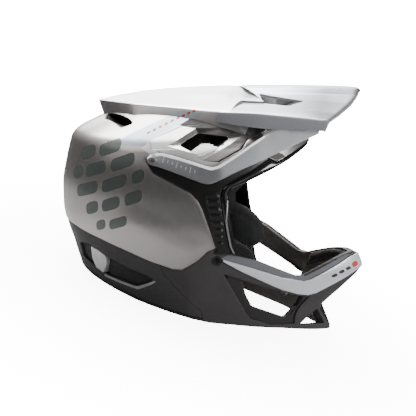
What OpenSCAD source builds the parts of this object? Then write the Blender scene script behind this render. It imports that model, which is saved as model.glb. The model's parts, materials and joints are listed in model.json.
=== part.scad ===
// Full-face mountain bike helmet with a tilting visor.
// Worn frame: X forward, the wearer's right is -Y, Z up, origin between the ears.
// The whole helmet is then tipped nose-up so that its lower rims stand on Z = 0.

/* [Outer shell] */
// Width of the outer shell over the ears
shell_width = 222; // [206:1:238]
// Reach of the shell behind the ear line
shell_back = 160; // [150:1:170]
// Height of the shell dome above the ear line
dome_height = 134; // [128:1:140]
// Wall of the upper shell
shell_wall = 3.0; // [2.4:0.1:4]
// Step from the upper shell in to the lower shell
lower_step = 0.9; // [0.6:0.1:2]
// Wall of the lower shell
lower_wall = 2.6; // [2.4:0.1:4]

/* [Crown plate] */
// Rise of the crown plate at its front above the top of the dome
crown_rise = 3; // [2:0.25:8]
// Wall of the crown plate
crown_wall = 2.8; // [2:0.1:4]

/* [Visor] */
// Reach of the visor tip ahead of the ear line
visor_reach = 164; // [150:1:180]
// Width of the visor over its side edges
visor_width = 160; // [150:1:166]
// Wall of the visor
visor_wall = 2.6; // [2:0.1:3.2]
// Wall of the two visor arms
arm_wall = 3.2; // [2.6:0.1:3.6]

/* [Chin bar] */
// Reach of the chin bar ahead of the ear line
chin_reach = 171; // [162:1:180]
// Depth of the chin bar mouldings from outside to inside
bar_depth = 10; // [8:0.5:12]
// Wall of the light band round the chin bar
band_wall = 2.0; // [1.6:0.1:2.6]
// How far the light band stands out of the chin bar
band_proud = 0.8; // [0.4:0.1:1.4]

/* [Liner and pads] */
// Thickness of the foam liner in the crown
liner_thick = 20; // [16:0.5:24]
// Thickness of the foam liner at the cheeks and neck
cheek_liner = 17; // [14:0.5:19]
// Thickness of the crown and brow comfort pads
pad_thick = 7; // [5:0.5:9]
// Thickness of the cheek pads
cheek_pad_thick = 20; // [15:1:24]

/* [Hardware] */
// Diameter of the pins that the visor turns on
pivot_d = 6; // [5:0.5:7]
// Head diameter of the cheek bolts
bolt_head_d = 7; // [6:0.5:8]
// Width of the chin strap webbing
strap_width = 20; // [18:1:23]
// Thickness of the chin strap webbing
strap_thick = 1.6; // [1.2:0.1:2]
// Width of the buckle under the chin
buckle_width = 25; // [24:0.5:28]

/* [Fits] */
// Gap between fixed neighbouring mouldings
seam = 0.2; // [0.1:0.05:0.4]
// Gap where the visor meets the crown plate
visor_gap = 1.0; // [0.8:0.1:1.6]
// Clearance round turning pins and screws
turn_fit = 0.25; // [0.15:0.05:0.4]
// Gap between soft pads and their neighbours
soft_gap = 0.4; // [0.3:0.1:0.8]

/* [Resting] */
// Nose-up tip that stands the helmet on its rims, in degrees
rest_tilt = 17; // [16:0.25:18]
// Depth of the flat lands cut in the rims
land_depth = 1.5; // [1:0.1:2]

/* [Hidden] */
$fn = 40;
half_w = shell_width / 2;
xw = -10;
crease = dome_height - 46;
n_a = 40;
dome_k = [0.9, 0.78, 0.62, 0.42, 0.22];
// height, back as a share of the shell's back, front, half width as a share, front and back roundness
st = [
  [-140, -0.42, 139.5, 0.66, 1.35, 2.0],
  [-120, -0.60, 141, 0.725, 1.35, 2.1],
  [-100, -0.74, 146, 0.785, 1.35, 2.1],
  [-80, -0.83, 160, 0.84, 1.35, 2.2],
  [-60, -0.885, 171, 0.892, 1.35, 2.2],
  [-45, -0.915, 166, 0.928, 1.4, 2.2],
  [-30, -0.94, 160, 0.955, 1.5, 2.2],
  [-13, -0.975, 150, 0.982, 1.7, 2.2],
  [10, -1, 135, 1, 1.9, 2.2],
  [30, -1, 122, 1, 2.1, 2.2],
  [60, -0.969, 114, 0.973, 2.2, 2.2],
  [crease, -0.925, 108, 0.892, 2.3, 2.2]];

// The chin reach moves only the stations under the eye opening.
function front_of(s) = s[2] + (s[0] < 0 ? (chin_reach - 171) : 0);
function spow(v, e) = sign(v) * pow(abs(v), e);
function ring(s, d, k) = [for (i = [0:n_a - 1])
  let (t = i * 360 / n_a, c = cos(t), q = sin(t), w = (half_w * s[3] - d) * k * spow(q, 2 / (c >= 0 ? s[4] : s[5])))
  c >= 0 ? [xw + (front_of(s) - xw - d) * k * spow(c, 2 / s[4]), w]
         : [xw - (xw - shell_back * s[1] - d) * k * spow(-c, 2 / s[5]), w]];
function cap_z(d, k) = (dome_height - d) - (dome_height - d - crease) * pow(k, 1.6);
function rings(d, low) = concat(
  [for (s = st) if (s[0] >= low) [for (p = ring(s, d, 1)) [p[0], p[1], s[0]]]],
  [for (k = dome_k) [for (p = ring(st[len(st) - 1], d, k)) [p[0], p[1], cap_z(d, k)]]]);

// The helmet's outer form drawn in by d, closed at the bottom station
module form(d, low = -140) {
  lv = rings(d, low);
  n = len(lv);
  polyhedron(
    concat([for (l = lv) each l], [[xw, 0, lv[0][0][2]], [xw, 0, dome_height - d]]),
    concat(
      [for (i = [0:n - 2], j = [0:n_a - 1]) [i * n_a + j, (i + 1) * n_a + j, i * n_a + (j + 1) % n_a]],
      [for (i = [0:n - 2], j = [0:n_a - 1])
        [i * n_a + (j + 1) % n_a, (i + 1) * n_a + j, (i + 1) * n_a + (j + 1) % n_a]],
      [for (j = [0:n_a - 1]) [n * n_a, j, (j + 1) % n_a]],
      [for (j = [0:n_a - 1]) [n * n_a + 1, (n - 1) * n_a + (j + 1) % n_a, (n - 1) * n_a + j]]));
}
module layer(a, b, low = -140) { difference() { form(a, low); form(b, low); } }

function col(i) = [for (s = st) [s[0], i == 2 ? front_of(s) : s[i]]];
// Half width of the form drawn in by d, at one X and Z
function surf_y(x, z, d = 0) =
  let (k = z <= crease ? 1 : pow((dome_height - d - z) / (dome_height - d - crease), 1 / 1.6),
       zz = min(z, crease), b = (half_w * lookup(zz, col(3)) - d) * k,
       e = lookup(zz, col(x >= xw ? 4 : 5)),
       u = x >= xw ? (x - xw) / ((lookup(zz, col(2)) - xw - d) * k)
                   : (xw - x) / ((xw - shell_back * lookup(zz, col(1)) - d) * k))
  b * pow(max(0, 1 - pow(u, e)), 1 / e);

// Prisms: a side outline (X, Z) run across Y, and a plan outline (X, Y) run up Z
module side(p, y0 = -150, y1 = 150) {
  translate([0, y1, 0]) rotate([90, 0, 0]) linear_extrude(y1 - y0) polygon(p);
}
module plan(p, z0, z1) { translate([0, 0, z0]) linear_extrude(z1 - z0) polygon(p); }
module both() { children(); mirror([0, 1, 0]) children(); }

// Standing on the table
ct = cos(rest_tilt);
st_ = sin(rest_tilt);
rim = [[-180, -50], [-150, -56], [-131, -62], [-109, -69], [-82, -78], [-54, -88], [-25, -97], [3, -105],
       [34, -111], [61, -117], [89, -122.5], [99, -125], [141, -135]];
floor_z = min([for (p = rim) if (p[0] > -120) p[0] * st_ + p[1] * ct]) + land_depth;
all_pts = concat([for (l = rings(0, -60)) each l], [for (p = ring(st[4], -band_proud, 1)) [p[0], p[1], -60]]);
rest_x = [for (p = all_pts) p[0] * ct - p[2] * st_];
mid_x = (max(rest_x) + min(rest_x)) / 2;
module stand() {
  difference() {
    translate([-mid_x, 0, -floor_z]) rotate([0, -rest_tilt, 0]) children();
    translate([-300, -200, -60]) cube([600, 400, 60]);
  }
}
module stand_only() { translate([-mid_x, 0, -floor_z]) rotate([0, -rest_tilt, 0]) children(); }

// Side outlines in X and Z
panel_line = [[-180, -4], [-150.5, -5.1], [-136, -7.2], [-103, -15], [-74, -24.3], [-47, -34.3], [-25, -41],
              [-15.6, -41.2], [-8.6, -37.2], [2, -30.2], [11.6, -20.5], [19.8, -16.7]];
frame_back = [[19.8, -16.7], [14.4, 1.7], [10, 15], [6.5, 25.4], [2.8, 33], [-5.6, 41.6], [-16, 46.5],
              [-44, 60], [-48, 65.5], [-52, 71.5]];
frame_top = [[-52, 71.5], [-47, 75], [-36, 77], [-16, 72], [8, 64], [15, 62], [23, 65], [44, 74], [66, 79.5],
             [73, 73.4]];
brow_line = [[73, 73.4], [80.5, 69.6], [99, 77.6], [106, 80], [125, 84]];
trim_out = [[125, 84], [106, 80], [99, 77.6], [80.5, 69.6], [73, 73.4], [54, 61.5], [32, 50.5], [27, 46.5],
            [24.5, 39], [25.3, 31], [28, 12], [30, 0], [32.8, -17], [35.5, -25]];
trim_in = [[44, -28.6], [42, -22.5], [40, -16], [37.5, 0], [35.5, 12], [33.5, 31], [34, 40], [37, 46],
           [47, 49.5], [70, 59], [90, 67.5], [101, 73], [112, 78], [125, 80]];
chin_top = [[19.8, -16.7], [21, -24.2], [35.5, -25.4], [44, -29], [65, -37], [105, -59], [113, -60],
            [147, -47], [158, -44], [190, -44]];
upper_area = concat(panel_line, frame_back, frame_top, brow_line, [[125, 160], [-180, 160]]);
parting = [[-38, -38], [-36, -48], [-14, -75], [2, -92], [6, -115]];
low_area = concat([for (p = panel_line) if (p[0] < -40) p], parting, [[6, -160], [-180, -160]]);
chin_area = concat([for (i = [len(parting) - 1:-1:0]) parting[i]],
  [for (p = panel_line) if (p[0] > -30) p], [for (i = [1:len(chin_top) - 1]) chin_top[i]],
  [[190, -60], [171, -62], [167, -68], [129.4, -100.5], [127.5, -107], [139.2, -130.7], [138, -160], [6, -160]]);
// Chin windows through the outer wall, and their smaller way through the rail inside it
chin_window = [[27.3, -48], [48.4, -57.7], [65.7, -65.2], [93.5, -76.6], [102, -81.6], [113, -85.3], [117, -86],
               [110.4, -93.1], [103.7, -101.7], [100.6, -111], [100.2, -119], [74.5, -115.8], [53, -104.8],
               [50.6, -100]];
window_in = [[46.5, -58.5], [55.3, -57.4], [78, -66], [99.6, -73.8], [112, -79], [108, -93.5], [103.3, -99.5],
             [93.4, -110.2], [56.5, -91], [50, -75]];
prow_window = [[124.5, -105.2], [121.3, -107.6], [114.8, -112.6], [105.5, -121.4], [133, -125.4], [126.3, -109.5]];
band_up = [[24.6, -29.6], [55, -42.6], [86, -57.5], [109, -65], [116, -64.2], [147, -51.5], [159, -46.5], [190, -44]];
band_low = [[190, -61], [171, -60.5], [150, -71], [122, -83], [113, -84], [102, -80.5], [86, -72.5], [45, -46]];
// The scoops' heights are from the crease
function from_crease(p) = [for (q = p) q + [0, crease]];
scoop_area = from_crease([[-49, 3], [-18, 16], [-2, 17], [38, 16], [52, 7], [46, -4], [23, -16], [7, -14], [-7, -6.5],
                          [-20, -3], [-47, -4.5]]);
scoop_vent = from_crease([[-19, -0.5], [-0.5, 11], [31, 7], [32.5, 4.5], [21, -2.5], [-7, -6.3]]);
rear_vent = [[-134, -28], [-122, -24.6], [-107.6, -29.8], [-100, -34.5], [-74, -44.5], [-53, -51.5], [-46, -56],
             [-52, -59], [-66, -65], [-102, -57], [-113.5, -52], [-131, -45]];
rear_strut = [[-117.5, -27], [-108, -29.9], [-100, -34.7], [-98.5, -43], [-104, -56.2], [-113, -52], [-117, -42]];
tail_vent = [[-108, -17], [-74, -58.5], [-71.5, -65], [-84, -67], [-108, -34]];
neck_edge = concat([for (p = rim) if (p[0] < 4) p], [for (i = [7:-1:0]) rim[i] + [0, 4.5]]);
pivot = [-44, 73.6];
cheek_bolt = [20.4, -32];

// Everything below the lower rim is open
module under_rim() { side(concat(rim, [[141, -220], [-180, -220]])); }
module tail_vents(z0 = 60) { both() plan(tail_vent, z0, 126); }
module bolt_axis(p, d, y0, y1) {
  both() translate([p[0], -y0, p[1]]) rotate([90, 0, 0]) cylinder(d = d, h = y1 - y0);
}

// Outer mouldings
module upper_shell_worn() {
  difference() {
    intersection() { layer(0, shell_wall); side(upper_area); }
    side(scoop_area);
    tail_vents();
    bolt_axis(pivot, pivot_d + 2 * seam, 60, 130);
  }
}
module upper_shell() color([0.62, 0.6, 0.59]) stand_only() upper_shell_worn();

// Crown plate: X, half width and height of its edge, height of its middle, X, half width and height of its foot.
// Heights here and in the visor are from the top of the dome.
crown_st = [
  [-120, 3, -14.6, -14.0, -113, 3, -36],
  [-110, 15, -13.6, -11.6, -107, 17, -38],
  [-97, 28, -12.8, -9, -94, 34, -40],
  [-74, 45, -12, -5, -72, 57, -40],
  [-44, 55, -12.7, -1.5, -43, 66, -42],
  [-22, 60, -13.6, 0.4, -22, 71, -44],
  [0, 65.5, -14.8, 1.6, 0, 75, -46],
  [22, 71, -15.2, 2.6, 22, 79, -48],
  [45, 73, -15.7, 3, 45, 80, -48],
  [72, 73, -17, 3, 72, 80, -48]];
function crown_sec(s, t) =
  let (f = s[0] > 30 ? 0.5 : 0.13, ye = s[1] - (s[1] > 10 ? t : 1), edge = dome_height + s[2] - t,
       mid = dome_height - t + (s[3] > 0 ? s[3] * crown_rise / 3 : s[3]), h = s[3] - s[2], foot = dome_height + s[6] - t)
  [[s[0] + t, 0, mid], [s[0] + t, -0.3 * ye, mid - f * h * 0.9], [s[0] + t, -0.66 * ye, mid - 0.56 * h],
   [s[0] + t, -ye, edge], [s[4] + t, -(s[5] - t), foot]];
function section(s, t) = let (h = crown_sec(s, t))
  concat(h, [for (i = [len(h) - 1:-1:1]) [h[i][0], -h[i][1], h[i][2]]]);
// A solid skinned over sections that each hold the same number of points
module skin(sec) {
  n = len(sec[0]);
  m = len(sec);
  function mean(i) = [for (k = [0:2]) let (v = [for (p = sec[i]) p[k]]) v * [for (p = v) 1] / n];
  polyhedron(
    concat([for (s = sec) each s], [mean(0), mean(m - 1)]),
    concat(
      [for (i = [0:m - 2], j = [0:n - 1]) [i * n + j, i * n + (j + 1) % n, (i + 1) * n + j]],
      [for (i = [0:m - 2], j = [0:n - 1]) [i * n + (j + 1) % n, (i + 1) * n + (j + 1) % n, (i + 1) * n + j]],
      [for (j = [0:n - 1]) [m * n, (j + 1) % n, j]],
      [for (j = [0:n - 1]) [m * n + 1, (m - 1) * n + j, (m - 1) * n + (j + 1) % n]]));
}
// The seam between the crown plate and the visor leans back so that the visor can rise off it
lean = 0.95;
function seam_line(g) = [[42 - g, 0], [54.7 - g, -20 - g * 0.3], [63 - g, -46 + g], [39.8 - g * 0.5, -45 + g],
                         [22 - g, -72 + g * 0.4], [8 - g, -92]];
module leaning_prism(p, z0, z1, zr) {
  n = len(p);
  polyhedron(
    concat([for (q = p) [q[0] - lean * (z0 - zr), q[1], z0]], [for (q = p) [q[0] - lean * (z1 - zr), q[1], z1]]),
    concat([[for (i = [0:n - 1]) n - 1 - i]], [[for (i = [0:n - 1]) n + i]],
      [for (i = [0:n - 1]) [i, (i + 1) % n, n + (i + 1) % n, n + i]]));
}
module seam_block(g) {
  h = seam_line(g);
  leaning_prism(concat([for (i = [len(h) - 1:-1:0]) [h[i][0], -h[i][1]]],
    [for (i = [1:len(h) - 1]) h[i]], [[-150, -92], [-150, 92]]), dome_height - 50, dome_height + 16, dome_height - 6);
}
module crown_plate_worn() {
  difference() {
    crown_plate_full();
    both() facet_zone(visor_gap * 0.5);
  }
}
module crown_plate_full() {
  difference() {
    intersection() {
      skin([for (i = [len(crown_st) - 1:-1:0]) section(crown_st[i], 0)]);
      seam_block(visor_gap);
      plan([[-140, -100], [64.5, -100], [64.5, 100], [-140, 100]], 60, dome_height + 26);
    }
    difference() {
      skin([for (i = [len(crown_st) - 1:-1:0]) section(crown_st[i], crown_wall)]);
      translate([34, -100, 60]) cube([60, 200, dome_height]);
    }
    form(-seam, 60);
  }
}
module crown_plate() color([0.84, 0.85, 0.87]) stand_only() crown_plate_worn();

module side_scoop_worn() {
  difference() {
    intersection() { layer(seam, 8, 30); side(scoop_area, -150, 0); }
    intersection() {
      layer(-1, 5, 30);
      rotate([90, 0, 0]) linear_extrude(150) offset(delta = -2.4) polygon(scoop_area);
    }
    side(scoop_vent, -150, 0);
  }
}
module side_scoop_right() color([0.8, 0.8, 0.8]) stand_only() side_scoop_worn();
module side_scoop_left() color([0.8, 0.8, 0.8]) stand_only() mirror([0, 1, 0]) side_scoop_worn();

// Black side frames with ribs between the panel and the eye opening
frame_area = concat(frame_back, [for (i = [1:len(frame_top) - 1]) frame_top[i]],
  [for (i = [5:len(trim_out) - 1]) trim_out[i]], [[21, -24.2]]);
module side_frame_worn() {
  difference() {
    intersection() {
      layer(-0.2, 3);
      side(frame_area, -150, 0);
    }
    bolt_axis(pivot, pivot_d + 2 * seam, 60, 130);
  }
  intersection() {
    layer(-1.2, 0.4);
    union() for (i = [0:7]) side([[13 - i * 0.2, 41 - i * 7.4], [26, 41 - i * 7.4], [26, 38 - i * 7.4],
                                 [14 - i * 0.2, 38 - i * 7.4]], -150, 0);
    side([[22, -19], [27.5, -18], [26.5, 8], [23, 30], [22.5, 41], [26, 47], [0, 45], [12, 26], [18, 4]], -150, 0);
  }
}
module side_frame_right() color([0.09, 0.09, 0.09]) stand_only() side_frame_worn();
module side_frame_left() color([0.09, 0.09, 0.09]) stand_only() mirror([0, 1, 0]) side_frame_worn();

module eyeport_trim_worn() {
  intersection() {
    layer(-0.6, 6);
    side(concat(trim_out, trim_in));
  }
}
module eyeport_trim() color([0.2, 0.19, 0.19]) stand_only() eyeport_trim_worn();

module lower_shell_worn() {
  difference() {
    intersection() { layer(lower_step, lower_step + lower_wall); side(low_area); }
    side(concat([for (p = rim) p + [0, 4.5 + seam]], [[141, -220], [-180, -220]]));
    side(rear_vent);
  }
}
module lower_shell() color([0.25, 0.24, 0.24]) stand() lower_shell_worn();

module neck_edging() color([0.12, 0.12, 0.12]) stand() intersection() {
  layer(lower_step - 0.4, lower_step + 5);
  side(neck_edge);
}

module rear_strut_worn() {
  difference() {
    intersection() { layer(lower_step - 0.8, 12, -80); side(rear_strut, -150, 0); }
    difference() { layer(lower_step, lower_step + lower_wall, -80); side(rear_vent); }
  }
}
module rear_strut_right() color([0.7, 0.7, 0.72]) stand_only() rear_strut_worn();
module rear_strut_left() color([0.7, 0.7, 0.72]) stand_only() mirror([0, 1, 0]) rear_strut_worn();

// Cheek and chin moulding
module chin_guard_worn() {
  difference() {
    intersection() {
      union() {
        difference() {
          layer(lower_step, lower_step + lower_wall);
          side(chin_window);
        }
        intersection() {
          layer(lower_step + lower_wall - 0.01, bar_depth + 1);
          side([[30, 0], [200, 0], [200, -160], [30, -160]]);
        }
      }
      side(chin_area);
    }
    under_rim();
    side(window_in);
    side(prow_window);
    bolt_axis(cheek_bolt, 4.2 + 2 * seam, 60, 130);
    bolt_axis(cheek_bolt, bolt_head_d + 2, surf_y(20.4, -32, lower_step + 1.6), 130);
    intersection() { layer(-3, band_wall - band_proud + seam); side(concat(band_up, band_low)); }
  }
}
module chin_guard() color([0.2, 0.19, 0.19]) stand() chin_guard_worn();
module chin_band() color([0.75, 0.76, 0.79]) stand_only() difference() {
  intersection() { layer(-band_proud, band_wall - band_proud); side(concat(band_up, band_low)); }
  side([[0, 0], [27, 0], [27, -100], [0, -100]]);
}
module chin_pad() color([0.08, 0.08, 0.08]) stand_only() intersection() {
  layer(bar_depth + 1 + soft_gap, bar_depth + 8);
  side([[118, -60], [147, -49], [170, -46], [170, -58], [147, -62], [118, -74]]);
}

// Visor: lines from the middle out to the side edge, each with heights along its length
vk = visor_reach - 164;
vy = visor_width / 2;
visor_lines = [
  [0, 164 + vk, [[0, 2], [42, 3], [100, 3.7], [150, 3.2], [164, 1.6]]],
  [12, 162.5 + vk, [[0, 2], [42, 2.6], [100, 3.3], [150, 2.7], [164, 1.2]]],
  [19, 160 + vk, [[0, -2], [42, -2], [100, -2.5], [150, -3], [164, -3.4]]],
  [34, 154 + vk, [[0, -8], [42, -7.5], [100, -7.2], [150, -9.5], [164, -10.4]]],
  [58, 141 + vk, [[0, -12], [42, -11.4], [100, -13.4], [140, -17.8], [164, -19]]],
  [vy, 132.5 + vk, [[0, -15.4], [22, -14.8], [45, -15], [85, -17.5], [131, -21.4], [164, -24]]],
  [vy, 128 + vk, [[0, -23.6], [10.7, -24], [45.5, -28.7], [74, -31], [128, -32], [164, -33]]]];
visor_f = [0, 0.18, 0.34, 0.5, 0.66, 0.82, 0.93, 1];
function visor_y(i, x) = i < 5 ? visor_lines[i][0] : vy - (i == 5 ? 3.5 : 0) - lookup(x, [[0, 3], [60, 1], [100, 0], [140, 0]]);
function visor_pt(i, f, t) = let (l = visor_lines[i], x = 4 + (l[1] - 4) * f)
  i < 5 ? [x + t * lean * (1 - f), -visor_y(i, x), dome_height + lookup(x, l[2]) - t]
        : [x + t * lean * (1 - f), -(visor_y(i, x) - t), dome_height + lookup(x, l[2]) - (i == 5 ? t : 0)];
module visor_blank() {
  // one closed section: outer line near to far, then the inner line back
  skin([for (f = visor_f) concat(
    [for (i = [6:-1:0]) let (p = visor_pt(i, f, 0)) p],
    [for (i = [1:6]) let (p = visor_pt(i, f, 0)) [p[0], -p[1], p[2]]],
    [for (i = [6:-1:1]) let (p = visor_pt(i, f, visor_wall)) [p[0], -p[1], p[2]]],
    [for (i = [0:6]) let (p = visor_pt(i, f, visor_wall)) p])]);
}
// Space of the visor's side facet, which runs back past the crown plate's wall, with a gap g inside it
module facet_zone(g) {
  skin([for (f = [0.45, 0.34, 0.18, 0.09, 0])
    let (a = visor_pt(5, f, 0), b = visor_pt(6, f, 0), i = visor_wall + g)
    [[a[0], a[1] - 6, a[2] + 6], [b[0], b[1] - 6, b[2] - 1], [b[0], b[1] + i, b[2] - 1], [a[0], a[1] + i, a[2] + 6]]]);
}
visor_hole = [[56.5, -20.5], [105.3, -36], [90, -51], [64.5, -46.5]];
module visor_worn() {
  difference() {
    visor_blank();
    difference() { seam_block(0); both() facet_zone(0); }
    both() plan(visor_hole, dome_height - 44, dome_height + 16);
    side([for (p = [[-10, -34], [10.7, -34], [20, -15], [20, 6], [-10, 6]]) p + [0, dome_height]]);
  }
}
module visor() color([0.78, 0.8, 0.83]) stand_only() visor_worn();

// Visor arms: X and Z of the upper and lower edge, and how far out each edge lies
arm_st = [
  [-50, 75.4, -50, 71.6, 0, 0], [-47.5, 78.4, -47.3, 69.2, 0, 0],
  [-37.3, 81.2, -36.4, 67.0, 0, 0], [-16, 76.7, -15.5, 60.2, 0, 0], [8, 69.9, 8.7, 51.6, 0, 0],
  [15.6, 67.6, 15.6, 51.4, 0, 0], [23.7, 70.2, 27, 56.6, 109.2, 110.5], [44, 82.2, 44, 64.5, 98.5, 103.2],
  [60, 92.5, 60, 70.6, 87, 96], [73.7, 101, 73.5, 76.4, 77.4, 88], [84, 107, 84, 80.6, 75, 82.5],
  [92, 110, 92, 84.5, 74, 80], [106, 109, 106, 91.2, 73.8, 77.4], [122, 107.5, 122, 98.4, 73.6, 75.4]];
arm_stand = 4.4;
function arm_y(x, z, y) = y == 0 ? surf_y(x, z) + arm_stand : y + (half_w - 111);
// The front ends of the arms rise with the visor
function arm_sec(s) = let (yt = arm_y(s[0], s[1], s[4]), yb = arm_y(s[2], s[3], s[5]),
    up = (dome_height - 134) * lookup(s[0], [[15, 0], [92, 1]]))
  [[s[0], -yt, s[1] + up], [s[2], -yb, s[3] + up], [s[2], -(yb - arm_wall), s[3] + up],
   [s[0], -(yt - arm_wall), s[1] + up]];
module visor_arm_worn() {
  difference() {
    skin([for (i = [len(arm_st) - 1:-1:0]) arm_sec(arm_st[i])]);
    translate([pivot[0], 0, pivot[1]]) rotate([90, 0, 0]) cylinder(d = pivot_d + 2 * turn_fit, h = 130);
  }
}
module visor_arm_right() color([0.5, 0.5, 0.52]) stand_only() visor_arm_worn();
module visor_arm_left() color([0.5, 0.5, 0.52]) stand_only() mirror([0, 1, 0]) visor_arm_worn();

// Bolt that the visor arm turns on: head outside the arm, shank into the shell, flange inside it
pivot_y = surf_y(pivot[0], pivot[1]) + arm_stand;
module pivot_bolt_worn() {
  translate([pivot[0], 0, pivot[1]]) rotate([90, 0, 0]) {
    translate([0, 0, pivot_y - 13]) cylinder(d = pivot_d, h = 14.9);
    translate([0, 0, pivot_y + 1.5]) cylinder(d = pivot_d + 2.6, h = 1.6);
    translate([0, 0, pivot_y - 13]) cylinder(d = pivot_d + 5, h = 2.2);
  }
}
module pivot_bolt_right() color([0.3, 0.3, 0.3]) stand_only() pivot_bolt_worn();
module pivot_bolt_left() color([0.3, 0.3, 0.3]) stand_only() mirror([0, 1, 0]) pivot_bolt_worn();

// Foam liner: an upper part over the head and a lower part round the cheeks and neck
liner_split = -13;
liner_in = max(shell_wall, lower_step + lower_wall) + 0.3;
module liner_upper() color([0.1, 0.1, 0.1]) stand_only() difference() {
  layer(liner_in, liner_in + liner_thick, -30);
  side(concat([[-200, liner_split]], [[23, liner_split]], [[23, 38], [25, 47], [32, 51.5], [54, 62.5], [72, 74.5],
    [80.5, 71], [99, 79], [125, 86], [200, 86], [200, -60], [-200, -60]]));
  intersection() { form(-2); both() side(scoop_area, 30, 150); layer(-3, 8.6, 30); }
  both() side(scoop_vent, -150, 0);
  tail_vents();
  bolt_axis(pivot, pivot_d + 6.4, 60, 130);
}
lower_in = liner_in;
cheek_bore = 2 * (turn_fit + 2.2);
module liner_lower() color([0.12, 0.12, 0.12]) stand_only() difference() {
  layer(lower_in, lower_in + cheek_liner);
  side([[-200, liner_split - seam], [23, liner_split - seam], [23, -25], [29.6, -25], [29.6, -200], [250, -200],
    [250, 150], [-200, 150]]);
  side(concat([for (p = rim) p + [0, 6.5]], [[141, -220], [-180, -220]]));
  intersection() { layer(0, 12.3, -100); side(concat([for (p = rear_strut) p], [])); }
  bolt_axis(cheek_bolt, cheek_bore, 60, 130);
}

// Comfort pads
pad_out = liner_in + liner_thick + soft_gap;
module pad_layer() { layer(pad_out, pad_out + pad_thick, -30); }
module crown_pad() color([0.13, 0.13, 0.14]) stand_only() intersection() {
  pad_layer();
  union() {
    plan([[-86, -13], [-80, -17], [58, -17], [64, -10], [64, 10], [58, 17], [-80, 17], [-86, 13]], 60, dome_height - 4);
    both() plan([[-74, -24], [48, -24], [40, -44], [10, -54], [-40, -52], [-70, -40]], dome_height - 56, dome_height - 4);
    plan([[-40, -40], [-22, -40], [-22, 40], [-40, 40]], dome_height - 64, dome_height - 4);
  }
}
module brow_pad() color([0.13, 0.13, 0.14]) stand_only() intersection() {
  pad_layer();
  side([[16, 34], [30, 66], [60, 78], [100, 88], [120, 88], [120, 66], [84, 56], [58, 44], [40, 30], [20, 26]]);
}
module nape_pad() color([0.13, 0.13, 0.14]) stand_only() intersection() {
  pad_layer();
  side([[-160, 44], [-70, 44], [-58, 36], [-58, 2], [-66, -8], [-160, -8]]);
}
// Cheek pad: a soft block with a full middle and drawn-in edges
cheek_pad_st = [[-34, -28, -12, 4], [-28, -44, -6, 12], [-12, -56, -4, 17], [8, -62, -6, 20], [24, -64, -12, 20],
                [38, -62, -17, 17], [50, -58, -25, 12], [57, -52, -34, 5]];
module cheek_pad_worn() {
  intersection() {
    form(max(cheek_liner, liner_thick) + liner_in + soft_gap, -140);
    skin([for (k = [len(cheek_pad_st) - 1:-1:0]) let (s = cheek_pad_st[k], o = surf_y(s[0], -40, lower_in + cheek_liner) + 6,
        i = surf_y(s[0], -40, lower_in + cheek_liner) - s[3] * cheek_pad_thick / 20, h = s[2] - s[1])
      [[s[0], -o, s[2]], [s[0], -o, s[1]], [s[0], -(i + 7), s[1] + h * 0.03], [s[0], -(i + 1.5), s[1] + h * 0.2],
       [s[0], -i, s[1] + h * 0.5], [s[0], -(i + 1.5), s[1] + h * 0.8], [s[0], -(i + 7), s[1] + h * 0.97]]]);
  }
}
module cheek_slot() {
  function in_y(z) = -(strap_y(z) - strap_thick - soft_gap - 0.4);
  translate([20.4 - strap_width / 2 - 1, 0, 0]) rotate([90, 0, 90]) linear_extrude(strap_width + 2)
    polygon(concat([[-120, -17], [in_y(-22), -17]], [for (z = strap_zs) [in_y(z), z]], [[-60, -76], [-120, -76]]));
}
function strap_y(z) = surf_y(20.4 + strap_width / 2, z, lower_in + cheek_liner) - soft_gap;
strap_zs = [-22, -32, -46, -58, -66];
strap_in = strap_y(-32);
module cheek_pad_right() color([0.07, 0.07, 0.07]) stand_only() difference() { cheek_pad_worn(); cheek_slot(); }
module cheek_pad_left() color([0.07, 0.07, 0.07]) stand_only() mirror([0, 1, 0])
  difference() { cheek_pad_worn(); cheek_slot(); }

// Cheek bolt through shell and liner, holding the end of the strap
module cheek_bolt_worn() {
  y0 = surf_y(20.4, -32, lower_step + 1.6);
  translate([cheek_bolt[0], -(y0 + 0.05), cheek_bolt[1]]) rotate([90, 0, 0]) difference() {
    cylinder(d = bolt_head_d, h = 2.2);
    translate([0, 0, 1]) cylinder(d = 3, h = 2, $fn = 6);
  }
  translate([cheek_bolt[0], -(strap_in - strap_thick), cheek_bolt[1]]) rotate([90, 0, 0])
    cylinder(d = 4.2, h = y0 - strap_in + strap_thick + 0.1);
}
module cheek_bolt_right() color([0.05, 0.05, 0.05]) stand_only() cheek_bolt_worn();
module cheek_bolt_left() color([0.05, 0.05, 0.05]) stand_only() mirror([0, 1, 0]) cheek_bolt_worn();

// Chin strap: outline of the webbing in Y and Z, run along X
function unit(v) = v / norm(v);
function off_line(p, t) = [for (i = [0:len(p) - 1])
  let (a = p[max(0, i - 1)], b = p[min(len(p) - 1, i + 1)], u = unit(b - a)) p[i] + t * [-u[1], u[0]]];
module ribbon(p, t, w, x) {
  o = off_line(p, t);
  translate([x - w / 2, 0, 0]) rotate([90, 0, 90]) linear_extrude(w)
    polygon(concat(p, [for (i = [len(p) - 1:-1:0]) o[i]]));
}
strap_x = 20.4;
wide = half_w / 111;
strap_path = concat([for (z = strap_zs) [-strap_y(z), z]], [[-65 * wide, -73], [-52 * wide, -78.4], [-38, -82],
  [-30, -83.4], [-26, -83.8], [-16.2, -83.8]]);
left_path = concat([for (z = strap_zs) [strap_y(z), z]], [[65 * wide, -72.5], [54 * wide, -77], [44 * wide, -80.4],
  [34, -82.2], [18, -82.4]]);
module strap_right() color([0.08, 0.08, 0.08]) stand_only() difference() {
  ribbon(strap_path, strap_thick, strap_width, strap_x);
  bolt_axis(cheek_bolt, 4.2 + 2 * turn_fit, 60, 100);
}
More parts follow.
